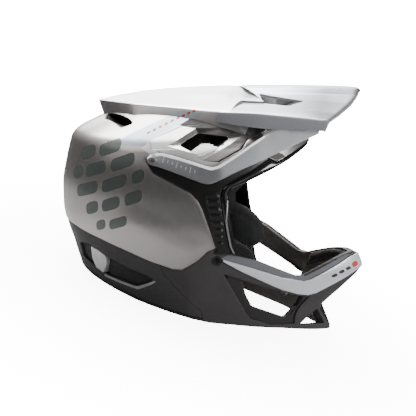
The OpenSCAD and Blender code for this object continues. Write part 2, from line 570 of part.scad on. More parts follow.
module strap_left() color([0.08, 0.08, 0.08]) stand_only() difference() {
  ribbon(left_path, -strap_thick, strap_width, strap_x);
  bolt_axis(cheek_bolt, 4.2 + 2 * turn_fit, 60, 100);
}

// Bridge on the shell that the visor rests on in its lowest place
module visor_bridge() color([0.2, 0.2, 0.21]) stand_only() difference() {
  intersection() {
    form(-12, 60);
    union() {
      intersection() { form(-3.5, 60); plan([[66, -52], [74, -52], [74, 52], [66, 52]], 80, dome_height + 6); }
      both() plan([[66, -52], [74, -52], [74, -46.6], [66, -46.6]], 80, dome_height - 13.4);
    }
  }
  form(-0.02, 60);
}

// Ratchet buckle under the chin: a housing on the right strap, a toothed blade on the left one, a lever
by = -4;
bz = -83.8;
module brick(x0, x1, y0, y1, z0, z1) { translate([x0, y0, z0]) cube([x1 - x0, y1 - y0, z1 - z0]); }
bx0 = strap_x - buckle_width / 2;
bx1 = strap_x + buckle_width / 2;
blade_w = strap_width - 1;
module buckle_housing() color([0.13, 0.13, 0.13]) stand_only() difference() {
  translate([0, 0, bz]) rotate([90, 0, 90]) translate([0, 0, bx0]) linear_extrude(buckle_width)
    polygon([[by - 20, -1.6], [by - 17, -4.2], [by + 13, -4.2], [by + 15, -3], [by + 15, 2.4], [by + 12, 3.8],
      [by - 16, 3.8], [by - 20, 2.2]]);
  brick(strap_x - strap_width / 2 - seam, strap_x + strap_width / 2 + seam, by - 24, by - 12, bz - 0.2, bz + strap_thick + 0.2);
  brick(strap_x - blade_w / 2 - turn_fit, strap_x + blade_w / 2 + turn_fit, by - 8, by + 20, bz - 1.2, bz + 1.6);
  brick(bx0 + 3, bx1 - 3, by - 14, by + 20, bz - 8, bz - 1.6);
  translate([bx0 - 1, by - 9, bz - 3]) rotate([0, 90, 0]) cylinder(d = 2 + 2 * turn_fit, h = buckle_width + 2);
}
module buckle_blade() color([0.35, 0.35, 0.36]) stand_only() difference() {
  brick(strap_x - blade_w / 2, strap_x + blade_w / 2, by - 7, by + 36, bz - 0.9, bz + 1.3);
  for (i = [0:9]) brick(strap_x - 5, strap_x + 5, by - 4 + i * 2.6, by - 2.8 + i * 2.6, bz - 2, bz - 0.4);
}
lever_pin = [by - 9, bz - 3];
module buckle_lever() color([0.55, 0.05, 0.05]) stand_only() {
  translate([0, 0, bz]) rotate([90, 0, 90]) translate([0, 0, bx0 + 3.3]) linear_extrude(buckle_width - 6.6)
    polygon([[by - 10.2, -2.2], [by - 11.4, -4], [by - 9, -5.2], [by + 16, -6.2], [by + 20, -5.6], [by + 20, -4.6],
      [by + 12, -4.2], [by - 4, -3.6], [by - 6, -2.2]]);
  translate([bx0 + 0.5, lever_pin[0], lever_pin[1]]) rotate([0, 90, 0]) cylinder(d = 2, h = buckle_width - 1);
}

upper_shell();
crown_plate();
side_scoop_right();
side_scoop_left();
side_frame_right();
side_frame_left();
eyeport_trim();
lower_shell();
neck_edging();
rear_strut_right();
rear_strut_left();
chin_guard();
chin_band();
chin_pad();
visor();
visor_arm_right();
visor_arm_left();
pivot_bolt_right();
pivot_bolt_left();
liner_upper();
liner_lower();
crown_pad();
brow_pad();
nape_pad();
cheek_pad_right();
cheek_pad_left();
cheek_bolt_right();
cheek_bolt_left();
strap_right();
strap_left();
visor_bridge();
buckle_housing();
buckle_blade();
buckle_lever();
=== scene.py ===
# Looks of the full-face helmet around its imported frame.
# Shapes are worked out in the worn frame in millimetres and then stood up in the row frame in metres.
import bpy
import bmesh
import json
import math
import numpy as np
from mathutils import Vector, Matrix, kdtree
from mathutils.geometry import delaunay_2d_cdt

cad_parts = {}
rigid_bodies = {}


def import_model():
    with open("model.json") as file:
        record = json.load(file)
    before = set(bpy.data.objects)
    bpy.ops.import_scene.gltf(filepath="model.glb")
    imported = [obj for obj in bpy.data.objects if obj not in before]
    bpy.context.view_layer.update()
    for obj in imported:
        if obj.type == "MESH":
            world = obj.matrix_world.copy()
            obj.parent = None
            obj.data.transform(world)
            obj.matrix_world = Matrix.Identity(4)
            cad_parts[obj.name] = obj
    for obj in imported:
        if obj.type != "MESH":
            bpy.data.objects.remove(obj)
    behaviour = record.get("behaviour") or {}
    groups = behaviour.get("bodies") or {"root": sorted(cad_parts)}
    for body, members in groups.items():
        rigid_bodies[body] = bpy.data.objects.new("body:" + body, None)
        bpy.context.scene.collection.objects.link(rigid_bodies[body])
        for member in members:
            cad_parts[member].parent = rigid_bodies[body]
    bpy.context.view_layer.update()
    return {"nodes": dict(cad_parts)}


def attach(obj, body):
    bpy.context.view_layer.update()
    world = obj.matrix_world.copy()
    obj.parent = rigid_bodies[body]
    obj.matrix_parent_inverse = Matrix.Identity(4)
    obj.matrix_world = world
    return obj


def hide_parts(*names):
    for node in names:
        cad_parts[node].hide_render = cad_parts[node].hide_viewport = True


for spare in list(bpy.data.objects):
    bpy.data.objects.remove(spare)
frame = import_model()

# Standing transform
TILT = math.radians(17)
CT, ST_ = math.cos(TILT), math.sin(TILT)
MID_X, FLOOR_Z = 7.28682, -98.5709


def stand(p):
    p = np.asarray(p, float)
    x, y, z = p[..., 0], p[..., 1], p[..., 2]
    return np.stack([(x * CT - z * ST_ - MID_X) / 1000, y / 1000, (x * ST_ + z * CT - FLOOR_Z) / 1000], -1)


# Camera and light

def look_at(ob, target, up=(0, 0, 1)):
    back = (Vector(ob.location) - Vector(target)).normalized()
    right = Vector(up).cross(back).normalized()
    real_up = back.cross(right)
    m = Matrix((right, real_up, back)).transposed()
    ob.rotation_mode = "QUATERNION"
    ob.rotation_quaternion = m.to_quaternion()


def worn_dir(v):
    return Vector((v[0] * CT - v[2] * ST_, v[1], v[0] * ST_ + v[2] * CT))


AZ, EL, DIST = math.radians(6.5), math.radians(13.5), 1250.0
BACK = Vector((math.sin(AZ) * math.cos(EL), -math.cos(AZ) * math.cos(EL), math.sin(EL)))
UP = Vector((-math.sin(AZ) * math.sin(EL), math.cos(AZ) * math.sin(EL), math.cos(EL)))
cam = bpy.data.objects.new("camera", bpy.data.cameras.new("camera"))
bpy.context.scene.collection.objects.link(cam)
bpy.context.scene.camera = cam
cam.data.sensor_width = 36
cam.data.lens = 97.36
cam.data.clip_start = 0.05
cam.data.clip_end = 20
cam.location = stand(np.array(BACK) * DIST)
look_at(cam, stand([0, 0, 0]), worn_dir(UP))


def area(name, loc, target, size, power):
    li = bpy.data.lights.new(name, "AREA")
    li.shape = "RECTANGLE"
    li.size, li.size_y = size
    li.energy = power
    ob = bpy.data.objects.new(name, li)
    bpy.context.scene.collection.objects.link(ob)
    ob.location = loc
    look_at(ob, target, (1, 0, 0.02))
    ob.visible_camera = False


# Form of the helmet: height, back, front, half width, front and back roundness
REAR, WIDE = -160, 111
ST = np.array([
    [-140, 0.42 * REAR, 139.5, 0.66 * WIDE, 1.35, 2.0],
    [-120, 0.60 * REAR, 141, 0.725 * WIDE, 1.35, 2.1],
    [-100, 0.74 * REAR, 146, 0.785 * WIDE, 1.35, 2.1],
    [-80, 0.83 * REAR, 160, 0.84 * WIDE, 1.35, 2.2],
    [-60, 0.885 * REAR, 171, 0.892 * WIDE, 1.35, 2.2],
    [-45, 0.915 * REAR, 166, 0.928 * WIDE, 1.4, 2.2],
    [-30, 0.94 * REAR, 160, 0.955 * WIDE, 1.5, 2.2],
    [-13, 0.975 * REAR, 150, 0.982 * WIDE, 1.7, 2.2],
    [10, REAR, 135, WIDE, 1.9, 2.2],
    [30, REAR, 122, WIDE, 2.1, 2.2],
    [60, 0.969 * REAR, 114, 0.973 * WIDE, 2.2, 2.2],
    [88, 0.925 * REAR, 108, 0.892 * WIDE, 2.3, 2.2]])
# Middle of the rings, height where the dome starts, top, length of the dome in place, fullness of the dome
XW, CREASE, TOP, VS, FULL = -10.0, 88.0, 134.0, 110.0, 1.6


def slopes(xs, ys):
    h = np.diff(xs)
    g = np.diff(ys) / h
    m = np.zeros(len(xs))
    m[0], m[-1] = g[0], g[-1]
    for i in range(1, len(xs) - 1):
        if g[i - 1] * g[i] > 0:
            w1, w2 = 2 * h[i] + h[i - 1], h[i] + 2 * h[i - 1]
            m[i] = (w1 + w2) / (w1 / g[i - 1] + w2 / g[i])
    return m


def smooth(xs, ys, x):
    """Monotone cubic through the points."""
    xs, ys = np.asarray(xs, float), np.asarray(ys, float)
    m = slopes(xs, ys)
    x = np.clip(x, xs[0], xs[-1])
    i = np.clip(np.searchsorted(xs, x) - 1, 0, len(xs) - 2)
    h = xs[i + 1] - xs[i]
    t = (x - xs[i]) / h
    return (ys[i] * (1 + 2 * t) * (1 - t) ** 2 + h * m[i] * t * (1 - t) ** 2
            + ys[i + 1] * t * t * (3 - 2 * t) + h * m[i + 1] * t * t * (t - 1))


def stations(z):
    return [smooth(ST[:, 0], ST[:, i], z) for i in range(1, 6)]


# How far below and above the crease the bend is softened
SOFT_A, SOFT_B = 6.0, 7.0


def kz(v, d):
    """Share k of the ring and height z at place v up the form drawn in by d."""
    v = np.asarray(v, float)
    k = np.where(v <= CREASE, 1.0, 1 - (v - CREASE) / VS)
    k = np.clip(k, 0, 1)
    z = np.where(v <= CREASE, v, (TOP - d) - (TOP - d - CREASE) * k ** FULL)
    kb = 1 - SOFT_B / VS
    zb = (TOP - d) - (TOP - d - CREASE) * kb ** FULL
    s = np.clip((v - (CREASE - SOFT_A)) / (SOFT_A + SOFT_B), 0, 1)
    kk = (1 - s) ** 2 + 2 * s * (1 - s) + s * s * kb
    zz = (1 - s) ** 2 * (CREASE - SOFT_A) + 2 * s * (1 - s) * CREASE + s * s * zb
    near = (v > CREASE - SOFT_A) & (v < CREASE + SOFT_B)
    return np.where(near, kk, k), np.where(near, zz, z)


def spow(a, e):
    return np.sign(a) * np.abs(a) ** e


def at(t, v, d=0.0):
    """Point on the form drawn in by d, at angle t and place v; t 0 is the front and negative t the right."""
    t, v, d = np.broadcast_arrays(np.asarray(t, float), np.asarray(v, float), np.asarray(d, float))
    k, z = kz(v, d)
    back, front, half, ef, er = stations(np.minimum(v, CREASE))
    c, q = np.cos(t), np.sin(t)
    c = np.where(np.abs(c) < 1e-9, 0, c)
    q = np.where(np.abs(q) < 1e-9, 0, q)
    e = np.where(c >= 0, ef, er)
    x = XW + np.where(c >= 0, front - XW - d, XW - back - d) * k * spow(c, 2 / e)
    y = (half - d) * k * spow(q, 2 / e)
    return np.stack([x, y, z], -1)


def to_tv(x, z):
    """Place on the form's right side of a side-view point; t is nan outside the silhouette."""
    x, z = np.asarray(x, float), np.asarray(z, float)
    k = np.where(z <= CREASE, 1.0, np.clip((TOP - z) / (TOP - CREASE), 0, 1) ** (1 / FULL))
    v = np.where(z <= CREASE, z, CREASE + (1 - k) * VS)
    back, front, half, ef, er = stations(np.minimum(z, CREASE))
    ahead = x >= XW
    u = np.where(ahead, (x - XW) / (front - XW), (XW - x) / (XW - back)) / np.maximum(k, 1e-6)
    e = np.where(ahead, ef, er)
    c = np.where(u <= 1, np.minimum(np.abs(u), 1) ** (e / 2), np.nan)
    return -np.arccos(np.where(ahead, c, -c)), v


def ring_share(x, y, d=0.0):
    """Share k of the crease's ring drawn in by d at a plan-view point, with its share in x and the exponent."""
    x, y = np.asarray(x, float), np.asarray(y, float)
    back, front, half, ef, er = [float(a) for a in stations(CREASE)]
    ahead = x >= XW
    e = np.where(ahead, ef, er)
    u = np.where(ahead, (x - XW) / (front - XW - d), (XW - x) / (XW - back - d))
    return (u ** e + (np.abs(y) / (half - d)) ** e) ** (1 / e), u, e


def plan_tv(x, y):
    """Place on the dome of a plan-view point."""
    k, u, e = ring_share(x, y)
    c = (u / k) ** (e / 2)
    return -np.arccos(np.clip(np.where(np.asarray(x) >= XW, c, -c), -1, 1)), CREASE + (1 - k) * VS


def rounded(poly, r=3.0, n=4, closed=True):
    """A polyline with its corners rounded."""
    p = np.asarray(poly, float)
    out = []
    m = len(p)
    for i in range(m):
        if not closed and i in (0, m - 1):
            out.append(p[i])
            continue
        a, b, c = p[i - 1], p[i], p[(i + 1) % m]
        la, lc = np.linalg.norm(a - b), np.linalg.norm(c - b)
        ri = r[i] if hasattr(r, "__len__") else r
        q = min(ri, la * 0.45, lc * 0.45)
        if q < 1e-6:
            out.append(b)
            continue
        s, e = b + (a - b) / la * q, b + (c - b) / lc * q
        for j in range(n + 1):
            f = j / n
            out.append((1 - f) ** 2 * s + 2 * f * (1 - f) * b + f * f * e)
    return np.array(out)


def dense(p, step, closed=True):
    p = np.asarray(p, float)
    out = []
    m = len(p)
    for i in range(m if closed else m - 1):
        a, b = p[i], p[(i + 1) % m]
        n = max(1, int(math.ceil(np.linalg.norm(b - a) / step)))
        for j in range(n):
            out.append(a + (b - a) * j / n)
    if not closed:
        out.append(p[-1])
    return np.array(out)


def in_poly(x, y, poly):
    inside = np.zeros(np.shape(x), bool)
    n = len(poly)
    for i in range(n):
        (x1, y1), (x2, y2) = poly[i], poly[(i + 1) % n]
        if y1 == y2:
            continue
        hit = ((y1 > y) != (y2 > y)) & (x < (x2 - x1) * (y - y1) / (y2 - y1) + x1)
        inside ^= hit
    return inside


def line_dist(x, z, line):
    """Distance from points to an open polyline."""
    line = np.asarray(line, float)
    best = np.full(np.shape(x), 1e9)
    for a, b in zip(line[:-1], line[1:]):
        d = b - a
        f = np.clip(((x - a[0]) * d[0] + (z - a[1]) * d[1]) / (d @ d), 0, 1)
        best = np.minimum(best, np.hypot(x - a[0] - f * d[0], z - a[1] - f * d[1]))
    return best


def mesh_object(name, verts, faces):
    me = bpy.data.meshes.new(name)
    me.from_pydata(np.asarray(verts, float).tolist(), [], [list(f) for f in faces])
    ob = bpy.data.objects.new(name, me)
    bpy.context.scene.collection.objects.link(ob)
    return ob, me


def new_object(name, verts, faces, mats, body, slot, packed, index=None, angle=32):
    """Makes a piece of worn-frame points, cut flat at the floor, and rides it on its body.
    packed is the node that it stands for, index the material of each face. Edges sharper than angle stay so."""
    v = stand(verts)
    v[:, 2] = np.maximum(v[:, 2], 0)
    ob, me = mesh_object(name, v, faces)
    for m in mats:
        me.materials.append(m)
    if index is not None:
        me.polygons.foreach_set("material_index", np.asarray(index, np.int32))
    bm = bmesh.new()
    bm.from_mesh(me)
    bmesh.ops.remove_doubles(bm, verts=bm.verts, dist=2e-6)
    bmesh.ops.dissolve_degenerate(bm, edges=bm.edges, dist=1e-6)
    bmesh.ops.recalc_face_normals(bm, faces=bm.faces)
    limit = math.radians(angle)
    for f in bm.faces:
        f.smooth = True
    for e in bm.edges:
        e.smooth = not (len(e.link_faces) == 2 and e.calc_face_angle(0) > limit)
    bm.to_mesh(me)
    bm.free()
    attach(ob, body)
    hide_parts(packed)
    return ob


def mirrored(solid):
    v, f = solid
    return np.asarray(v) * np.array([1, -1, 1]), [tuple(q)[::-1] for q in f]


def pair(name, solid, mats, body, slot, packed, index=None, angle=32):
    """A piece and its mirrored twin. A star in name and packed stands for the side, right or left."""
    return [new_object(name.replace("*", side), v, f, mats, body, slot, packed.replace("*", side), index, angle)
            for side, (v, f) in (("right", solid), ("left", mirrored(solid)))]


def tree_of(pts):
    """Search tree over flat points."""
    tree = kdtree.KDTree(len(pts))
    for i, p in enumerate(pts):
        tree.insert((p[0], p[1], 0), i)
    tree.balance()
    return tree


# Millimetres for a radian of angle in the flat drawings, where the back middle line is at BEHIND
RS = 110.0
BEHIND = -math.pi * RS
# How far an outline is run on to the middle line at most; how near the grid comes to outlines, in triangles
RUN_ON, APART = 25.0, 0.42


def sheet_mesh(include, exclude, plan_exclude, lines, h, low, high):
    """Triangles over part of the form's right side.
    include and exclude are side-view outlines; lines are further ones that the triangles keep to.
    h is the size of a triangle. Gives angle and place, triangles, and each triangle's middle in side view."""
    pts, segs = [], []

    def chain(t, v):
        idx = [-1] * len(t)
        for i in range(len(t)):
            if not np.isnan(t[i]) and low <= v[i] <= high:
                idx[i] = len(pts)
                pts.append((t[i] * RS, v[i]))
        for a, b in zip(idx, idx[1:] + idx[:1]):
            if a >= 0 and b >= 0:
                if a != b:
                    segs.append((a, b))
            elif a >= 0 or b >= 0:
                # the outline leaves the silhouette here: end it on the nearer middle line
                k = max(a, b)
                place = pts[k][0]
                edge = 0.0 if place > BEHIND / 2 else BEHIND
                if 1e-6 < abs(place - edge) < RUN_ON:
                    pts.append((edge, pts[k][1]))
                    segs.append((k, len(pts) - 1))

    for poly in list(include) + list(exclude) + list(lines):
        p = dense(poly, h * 0.5)
        chain(*to_tv(p[:, 0], p[:, 1]))
    for poly in plan_exclude:
        p = dense(poly, h * 0.5)
        chain(*plan_tv(p[:, 0], p[:, 1]))
    tree = tree_of(pts)
    nt = int(math.ceil(-BEHIND / h))
    nv = int(math.ceil((high - low) / h))
    for j in range(nv + 1):
        v = low + (high - low) * j / nv
        shift = 0.5 if j % 2 else 0.0
        for a in [0.0, BEHIND] + [BEHIND * (i + shift) / nt for i in range(0 if shift else 1, nt)]:
            if tree.find((a, v, 0))[2] >= h * APART:
                pts.append((a, v))
    res = delaunay_2d_cdt([Vector(p) for p in pts], segs, [], 0, 1e-4)
    tv = np.array([(p[0] / RS, p[1]) for p in res[0]])
    tri = np.array([f for f in res[2] if len(f) == 3])
    mid = tv[tri].mean(1)
    p = at(mid[:, 0], mid[:, 1])
    x = p[:, 0]
    zz = np.where(mid[:, 1] <= CREASE, mid[:, 1], p[:, 2])
    keep = np.zeros(len(tri), bool)
    for poly in include:
        keep |= in_poly(x, zz, poly)
    for poly in exclude:
        keep &= ~in_poly(x, zz, poly)
    for poly in plan_exclude:
        keep &= ~(in_poly(x, p[:, 1], poly) & (mid[:, 1] > CREASE))
    a, b, c = (tv[tri[:, i]] for i in range(3))
    size = np.abs((b[:, 0] - a[:, 0]) * (c[:, 1] - a[:, 1]) - (b[:, 1] - a[:, 1]) * (c[:, 0] - a[:, 0])) * RS
    keep &= size > 1e-4
    tri = tri[keep]
    used = np.unique(tri)
    back = np.full(len(tv), -1)
    back[used] = np.arange(len(used))
    return tv[used], back[tri], x[keep], zz[keep]


def border(tri):
    """Edges used once, in the direction of their triangle."""
    seen = {}
    for f in tri:
        for i in range(3):
            a, b = int(f[i]), int(f[(i + 1) % 3])
            if (b, a) in seen:
                del seen[(b, a)]
            else:
                seen[(a, b)] = 1
    return list(seen)


# Where the middle of a rounded corner lies, as a share of its radius from both faces
CORNER = 0.29


def depth_of(d):
    """A depth given as a number becomes a function of side-view x and z; a function stays."""
    return d if callable(d) else lambda x, z: np.full(np.shape(x), float(d))


def unit(v):
    return v / np.maximum(np.linalg.norm(v, axis=1), 1e-9)[:, None]


def panel(name, include, d0, d1, mats, slot, packed, exclude=(), plan_exclude=(), inlays=(), h=3.0, bevel=0.6,
          angle=32, low=-140.0):
    """A moulding that follows the form from depth d0 to depth d1, with rounded rims.
    d0 and d1 are numbers or functions of side-view x and z. inlays are outlines with a material each.
    It is one piece across the middle or, with a star in its names, a right and a left piece."""
    tv, tri, cx, cz = sheet_mesh(include, exclude, plan_exclude, [i[0] for i in inlays], h, low, CREASE + VS)
    index = np.zeros(len(tri), int)
    for poly, m in inlays:
        index[in_poly(cx, cz, poly)] = m
    t, v = tv[:, 0], tv[:, 1]
    base = at(t, v)
    o, i_ = [at(t, v, depth_of(d)(base[:, 0], base[:, 2])) for d in (d0, d1)]
    mid = (np.abs(t) < 1e-6) | (np.abs(t + math.pi) < 1e-6)
    o[mid, 1] = 0
    i_[mid, 1] = 0
    a, b, c = (o[tri[:, j]] for j in range(3))
    fn = np.cross(b - a, c - a)
    flip = (fn * (a - np.array([XW, 0, 20]))).sum(1) < 0
    tri[flip] = tri[flip][:, ::-1]
    fn[flip] *= -1
    vn = np.zeros_like(o)
    for j in range(3):
        np.add.at(vn, tri[:, j], fn)
    vn[mid, 1] = 0
    vn = unit(vn)
    edges = [e for e in border(tri) if not (mid[e[0]] and mid[e[1]] and abs(t[e[0]] - t[e[1]]) < 1e-6)]
    n = len(o)
    faces = [tuple(f) for f in tri] + [tuple(int(q) + n for q in f[::-1]) for f in tri]
    mat = list(index) + [0] * len(tri)
    rim_v = sorted({q for e in edges for q in e})
    where = {q: k for k, q in enumerate(rim_v)}
    inward = np.zeros((len(rim_v), 3))
    for p, q in edges:
        m = np.cross(vn[p] + vn[q], o[q] - o[p])
        ln = np.linalg.norm(m)
        if ln > 1e-9:
            m /= ln
        inward[where[p]] += m
        inward[where[q]] += m
    inward[mid[rim_v], 1] = 0
    inward = unit(inward)
    rim, rim_in = o[rim_v], i_[rim_v]
    wall = np.linalg.norm(rim - rim_in, axis=1)
    r = np.minimum(bevel, wall * 0.3)[:, None]
    down = (rim_in - rim) / np.maximum(wall, 1e-9)[:, None]
    o[rim_v] = rim + inward * r
    i_[rim_v] = rim_in + inward * r
    rounds = [rim + inward * r * CORNER + down * r * CORNER, rim + down * r, rim_in - down * r,
              rim_in + inward * r * CORNER - down * r * CORNER]
    for p, q in edges:
        lp, lq = [[e] + [2 * n + s * len(rim_v) + where[e] for s in range(4)] + [e + n] for e in (p, q)]
        for s in range(5):
            faces.append((lq[s], lp[s], lp[s + 1], lq[s + 1]))
            mat.append(0)
    verts = np.concatenate([o, i_] + rounds)
    if "*" in name:
        return pair(name, (verts, faces), mats, "helmet", slot, packed, mat, angle)
    left, lf = mirrored((verts, faces))
    faces += [tuple(q + len(verts) for q in f) for f in lf]
    whole = np.concatenate([verts, left])
    return new_object(name, whole, faces, mats, "helmet", slot, packed, mat + mat, angle)


# Materials

def wire(nt, n, inputs):
    """Gives inputs of a node a value each, or a link from the output of another node."""
    for key, v in inputs.items():
        if isinstance(v, bpy.types.NodeSocket):
            nt.links.new(v, n.inputs[key])
        else:
            n.inputs[key].default_value = v


def node(nt, kind, inputs, out=0, **settings):
    """Adds a shader node and gives its output out."""
    n = nt.nodes.new("ShaderNode" + kind)
    for key, v in settings.items():
        setattr(n, key, v)
    wire(nt, n, inputs)
    return n.outputs[out]


def nodes_of(name):
    """A new material with its nodes, its main shader and its object coordinates."""
    m = bpy.data.materials.new(name)
    m.use_nodes = True
    nt = m.node_tree
    return m, nt, nt.nodes["Principled BSDF"], node(nt, "TexCoord", {}, "Object")


def noise(nt, vec, scale, detail, rough=0.55):
    return node(nt, "TexNoise", {"Vector": vec, "Scale": scale, "Detail": detail, "Roughness": rough}, "Fac")


def ramp(nt, fac, stops):
    """Colours by stops of (place, colour)."""
    r = nt.nodes.new("ShaderNodeValToRGB")
    el = r.color_ramp.elements
    while len(el) < len(stops):
        el.new(0.5)
    for e, (pos, col) in zip(el, stops):
        e.position = pos
        e.color = tuple(col) + (1,)
    wire(nt, r, {"Fac": fac})
    return r.outputs["Color"]


def spread(nt, fac, lo, hi, a=0.0, b=1.0):
    """What runs from a to b runs from lo to hi."""
    ends = {"From Min": a, "From Max": b, "To Min": lo, "To Max": hi}
    return node(nt, "MapRange", {"Value": fac, **ends}, "Result")


def bump(nt, bsdf, inputs):
    out = node(nt, "Bump", inputs, "Normal")
    wire(nt, bsdf, {"Normal": out})
    return out


def mul(c, f):
    return tuple(min(1.0, x * f) for x in c)


def paint(name, base, rough=0.35, metal=0.0, coat=0.0, var=0.05, flake=0.06, grain=900, spec=0.5):
    """Sprayed or moulded plastic: slow tone changes, fine grain in roughness and height."""
    m, nt, b, v = nodes_of(name)
    fine = noise(nt, v, grain, 2, 0.7)
    wire(nt, b, {
        "Base Color": ramp(nt, noise(nt, v, 14, 2), [(0.25, mul(base, 1 - var)), (0.75, mul(base, 1 + var))]),
        "Roughness": spread(nt, fine, rough * 0.85, rough * 1.15, 0.3, 0.7),
        "Metallic": metal, "Coat Weight": coat, "Coat Roughness": 0.15, "Specular IOR Level": spec})
    bump(nt, b, {"Height": fine, "Strength": flake, "Distance": 0.0003})
    return m


def painted_light_paint(name, base, stops, rough, metal, coat=0.15, var=0.02, spec=0.5):
    """Paint with painted light and shade: its colour gets lighter or darker along the helmet, by stops of (x in
    metres, part of the base colour).
    """
    m = paint(name, base, rough, metal, coat, var, spec=spec)
    nt = m.node_tree
    b = nt.nodes["Principled BSDF"]
    along = node(nt, "SeparateXYZ", {0: node(nt, "TexCoord", {}, "Object")}, "X")
    x0, x1 = stops[0][0], stops[-1][0]
    tone = ramp(nt, spread(nt, along, 0.0, 1.0, x0, x1),
                [((x - x0) / (x1 - x0), (k, k, k)) for x, k in stops])
    plain = b.inputs["Base Color"].links[0].from_socket
    wire(nt, b, {"Base Color": node(nt, "Mix", {"Factor": 1.0, "A": plain, "B": tone}, "Result",
                                    data_type="RGBA", blend_type="MULTIPLY")})
    return m


def fabric(name, base, thread=1400.0, strength=0.5, rough=0.9, sheen=0.03):
    """Knitted cloth: two crossed waves of thread, with fuzz."""
    m, nt, b, v = nodes_of(name)
    wave = {"Vector": v, "Scale": thread / 6.3, "Distortion": 1.2, "Detail": 1.0}
    crossed = [node(nt, "TexWave", wave, "Fac", wave_type="BANDS", bands_direction=axis) for axis in "XZ"]
    knit = node(nt, "Math", dict(enumerate(crossed)), operation="MAXIMUM")
    wire(nt, b, {"Base Color": ramp(nt, knit, [(0.1, mul(base, 0.6)), (0.9, mul(base, 1.35))]),
                 "Roughness": rough, "Sheen Weight": sheen, "Sheen Roughness": 0.5})
    threads = bump(nt, b, {"Height": knit, "Strength": strength, "Distance": 0.0004})
    bump(nt, b, {"Height": noise(nt, v, 300, 4), "Strength": 0.15, "Distance": 0.0006, "Normal": threads})
    return m


def foam(name, base):
    """Moulded bead foam: closed cells packed together."""
    m, nt, b, v = nodes_of(name)
    cell = node(nt, "TexVoronoi", {"Vector": v, "Scale": 330}, "Distance", feature="DISTANCE_TO_EDGE")
    wire(nt, b, {"Base Color": ramp(nt, cell, [(0.0, mul(base, 0.5)), (0.12, base), (0.6, mul(base, 1.3))]),
                 "Roughness": 0.75})
    bump(nt, b, {"Height": cell, "Strength": 0.35, "Distance": 0.0005})
    return m


SILVER = paint("silver_paint", (0.70, 0.70, 0.70), 0.36, 0.88, 0.15, 0.02)
# A darker copy of the silver for the crown plate's side walls and for the brow of the upper shell: painted
# shade.
WALL_SHADE = paint("wall_shade_paint", (0.44, 0.424, 0.416), 0.40, 0.9, 0.1, 0.03)
# Dark paint for the area beside the scoops, the gap over the arms, the notch by the brow and the facets in the
# scoops' recess: painted shade, darker still towards the back.
SHADE_TONES = [(-0.055, 0.3), (-0.035, 0.45), (-0.02, 0.9), (0.03, 1.0)]
SHADE = painted_light_paint("shade_paint", (0.10, 0.096, 0.094), SHADE_TONES, 0.55, 0.0, 0.0, 0.06, spec=0.15)
# Plain white for the ledges inside the vents: a painted highlight.
WHITE_HIGHLIGHT = paint("white_highlight_paint", (0.86, 0.86, 0.86), 0.4, 0.0, 0.2, 0.02)
# Pale paint for the up-facing facets of the scoops and the ledge over the arms: painted light where the top
# lamp falls.
PAINTED_LIGHT_PALE = paint("painted_light_pale_paint", (0.78, 0.77, 0.76), 0.38, 0.45, 0.2, 0.03)
# The visor's paint gets darker over a band near its front and lighter again at the tip: painted shade.
VISOR_PAINTED_SHADE = [(0.0, 1.0), (0.03, 0.9), (0.075, 0.26), (0.11, 0.26), (0.13, 0.8), (0.16, 0.9)]
VISOR_SILVER = painted_light_paint("visor_paint", (0.53, 0.548, 0.585), VISOR_PAINTED_SHADE, 0.36, 0.75)
# A darker copy of the visor paint for its side walls and front edge, darker still towards the back: painted
# shade.
SIDE_PAINTED_SHADE = [(-0.04, 0.42), (-0.01, 0.75), (0.03, 1.0), (0.16, 1.0)]
VISOR_SIDE_SHADE = painted_light_paint("visor_side_shade_paint", (0.44, 0.453, 0.485), SIDE_PAINTED_SHADE, 0.4, 0.45)
GREY = paint("grey_paint", (0.46, 0.436, 0.426), 0.36, 0.94, 0.15, 0.05)
LETTER = paint("pattern_paint", (0.11, 0.124, 0.12), 0.42, 0.4, 0.3, 0.08)
STRIPE = paint("stripe_paint", (0.42, 0.475, 0.54), 0.42, 0.35, 0.2, 0.02)
RED = paint("red_paint", (0.60, 0.05, 0.03), 0.5, 0.0, 0.0, 0.04)
DARK = paint("dark_shell_plastic", (0.058, 0.055, 0.056), 0.52, 0.0, 0.0, 0.12, 0.22, 1500, spec=0.15)
RAIL = paint("rail_plastic", (0.034, 0.0325, 0.032), 0.5, 0.0, 0.0, 0.12, 0.2, 1300, spec=0.15)
# Lighter plastic for the rail's inward faces: painted light where the lamps hardly reach.
INNER_PAINTED_LIGHT = paint("inner_painted_light_plastic", (0.21, 0.196, 0.186), 0.6, 0.0, 0.0, 0.1, 0.2, 1300, spec=0.12)
BLACK = paint("black_plastic", (0.009, 0.0086, 0.0083), 0.38, 0.0, 0.0, 0.15, 0.2, 1300, spec=0.4)
GLOSS = paint("gloss_trim", (0.009, 0.008, 0.0075), 0.2, 0.0, 0.4, 0.1, 0.05)
TRIM = paint("trim_rubber_skin", (0.014, 0.0135, 0.0135), 0.5, 0.0, 0.0, 0.1, 0.3, 1100, spec=0.35)
# Light grey for the rear struts, which are dark gloss plastic: a painted reflection.
STRUT_REFLECTION = paint("strut_reflection_paint", (0.60, 0.60, 0.61), 0.38, 0.5, 0.2, 0.03)
BAND = paint("band_paint", (0.80, 0.82, 0.87), 0.36, 0.3, 0.3, 0.02)
BEVEL = paint("bevel_plastic", (0.15, 0.153, 0.168), 0.55, 0.0, 0.0, 0.05, 0.12, spec=0.15)
# The arms and the pivot bolt heads are painted darker towards the back and lighter towards the front: painted
# shade and light.
ARM_PAINTED_SHADE = [(-0.045, 0.26), (-0.01, 0.28), (0.02, 0.5), (0.06, 0.98), (0.12, 1.05)]
ARM = painted_light_paint("arm_paint", (0.90, 0.92, 0.96), ARM_PAINTED_SHADE, 0.34, 0.25, 0.35, 0.03)
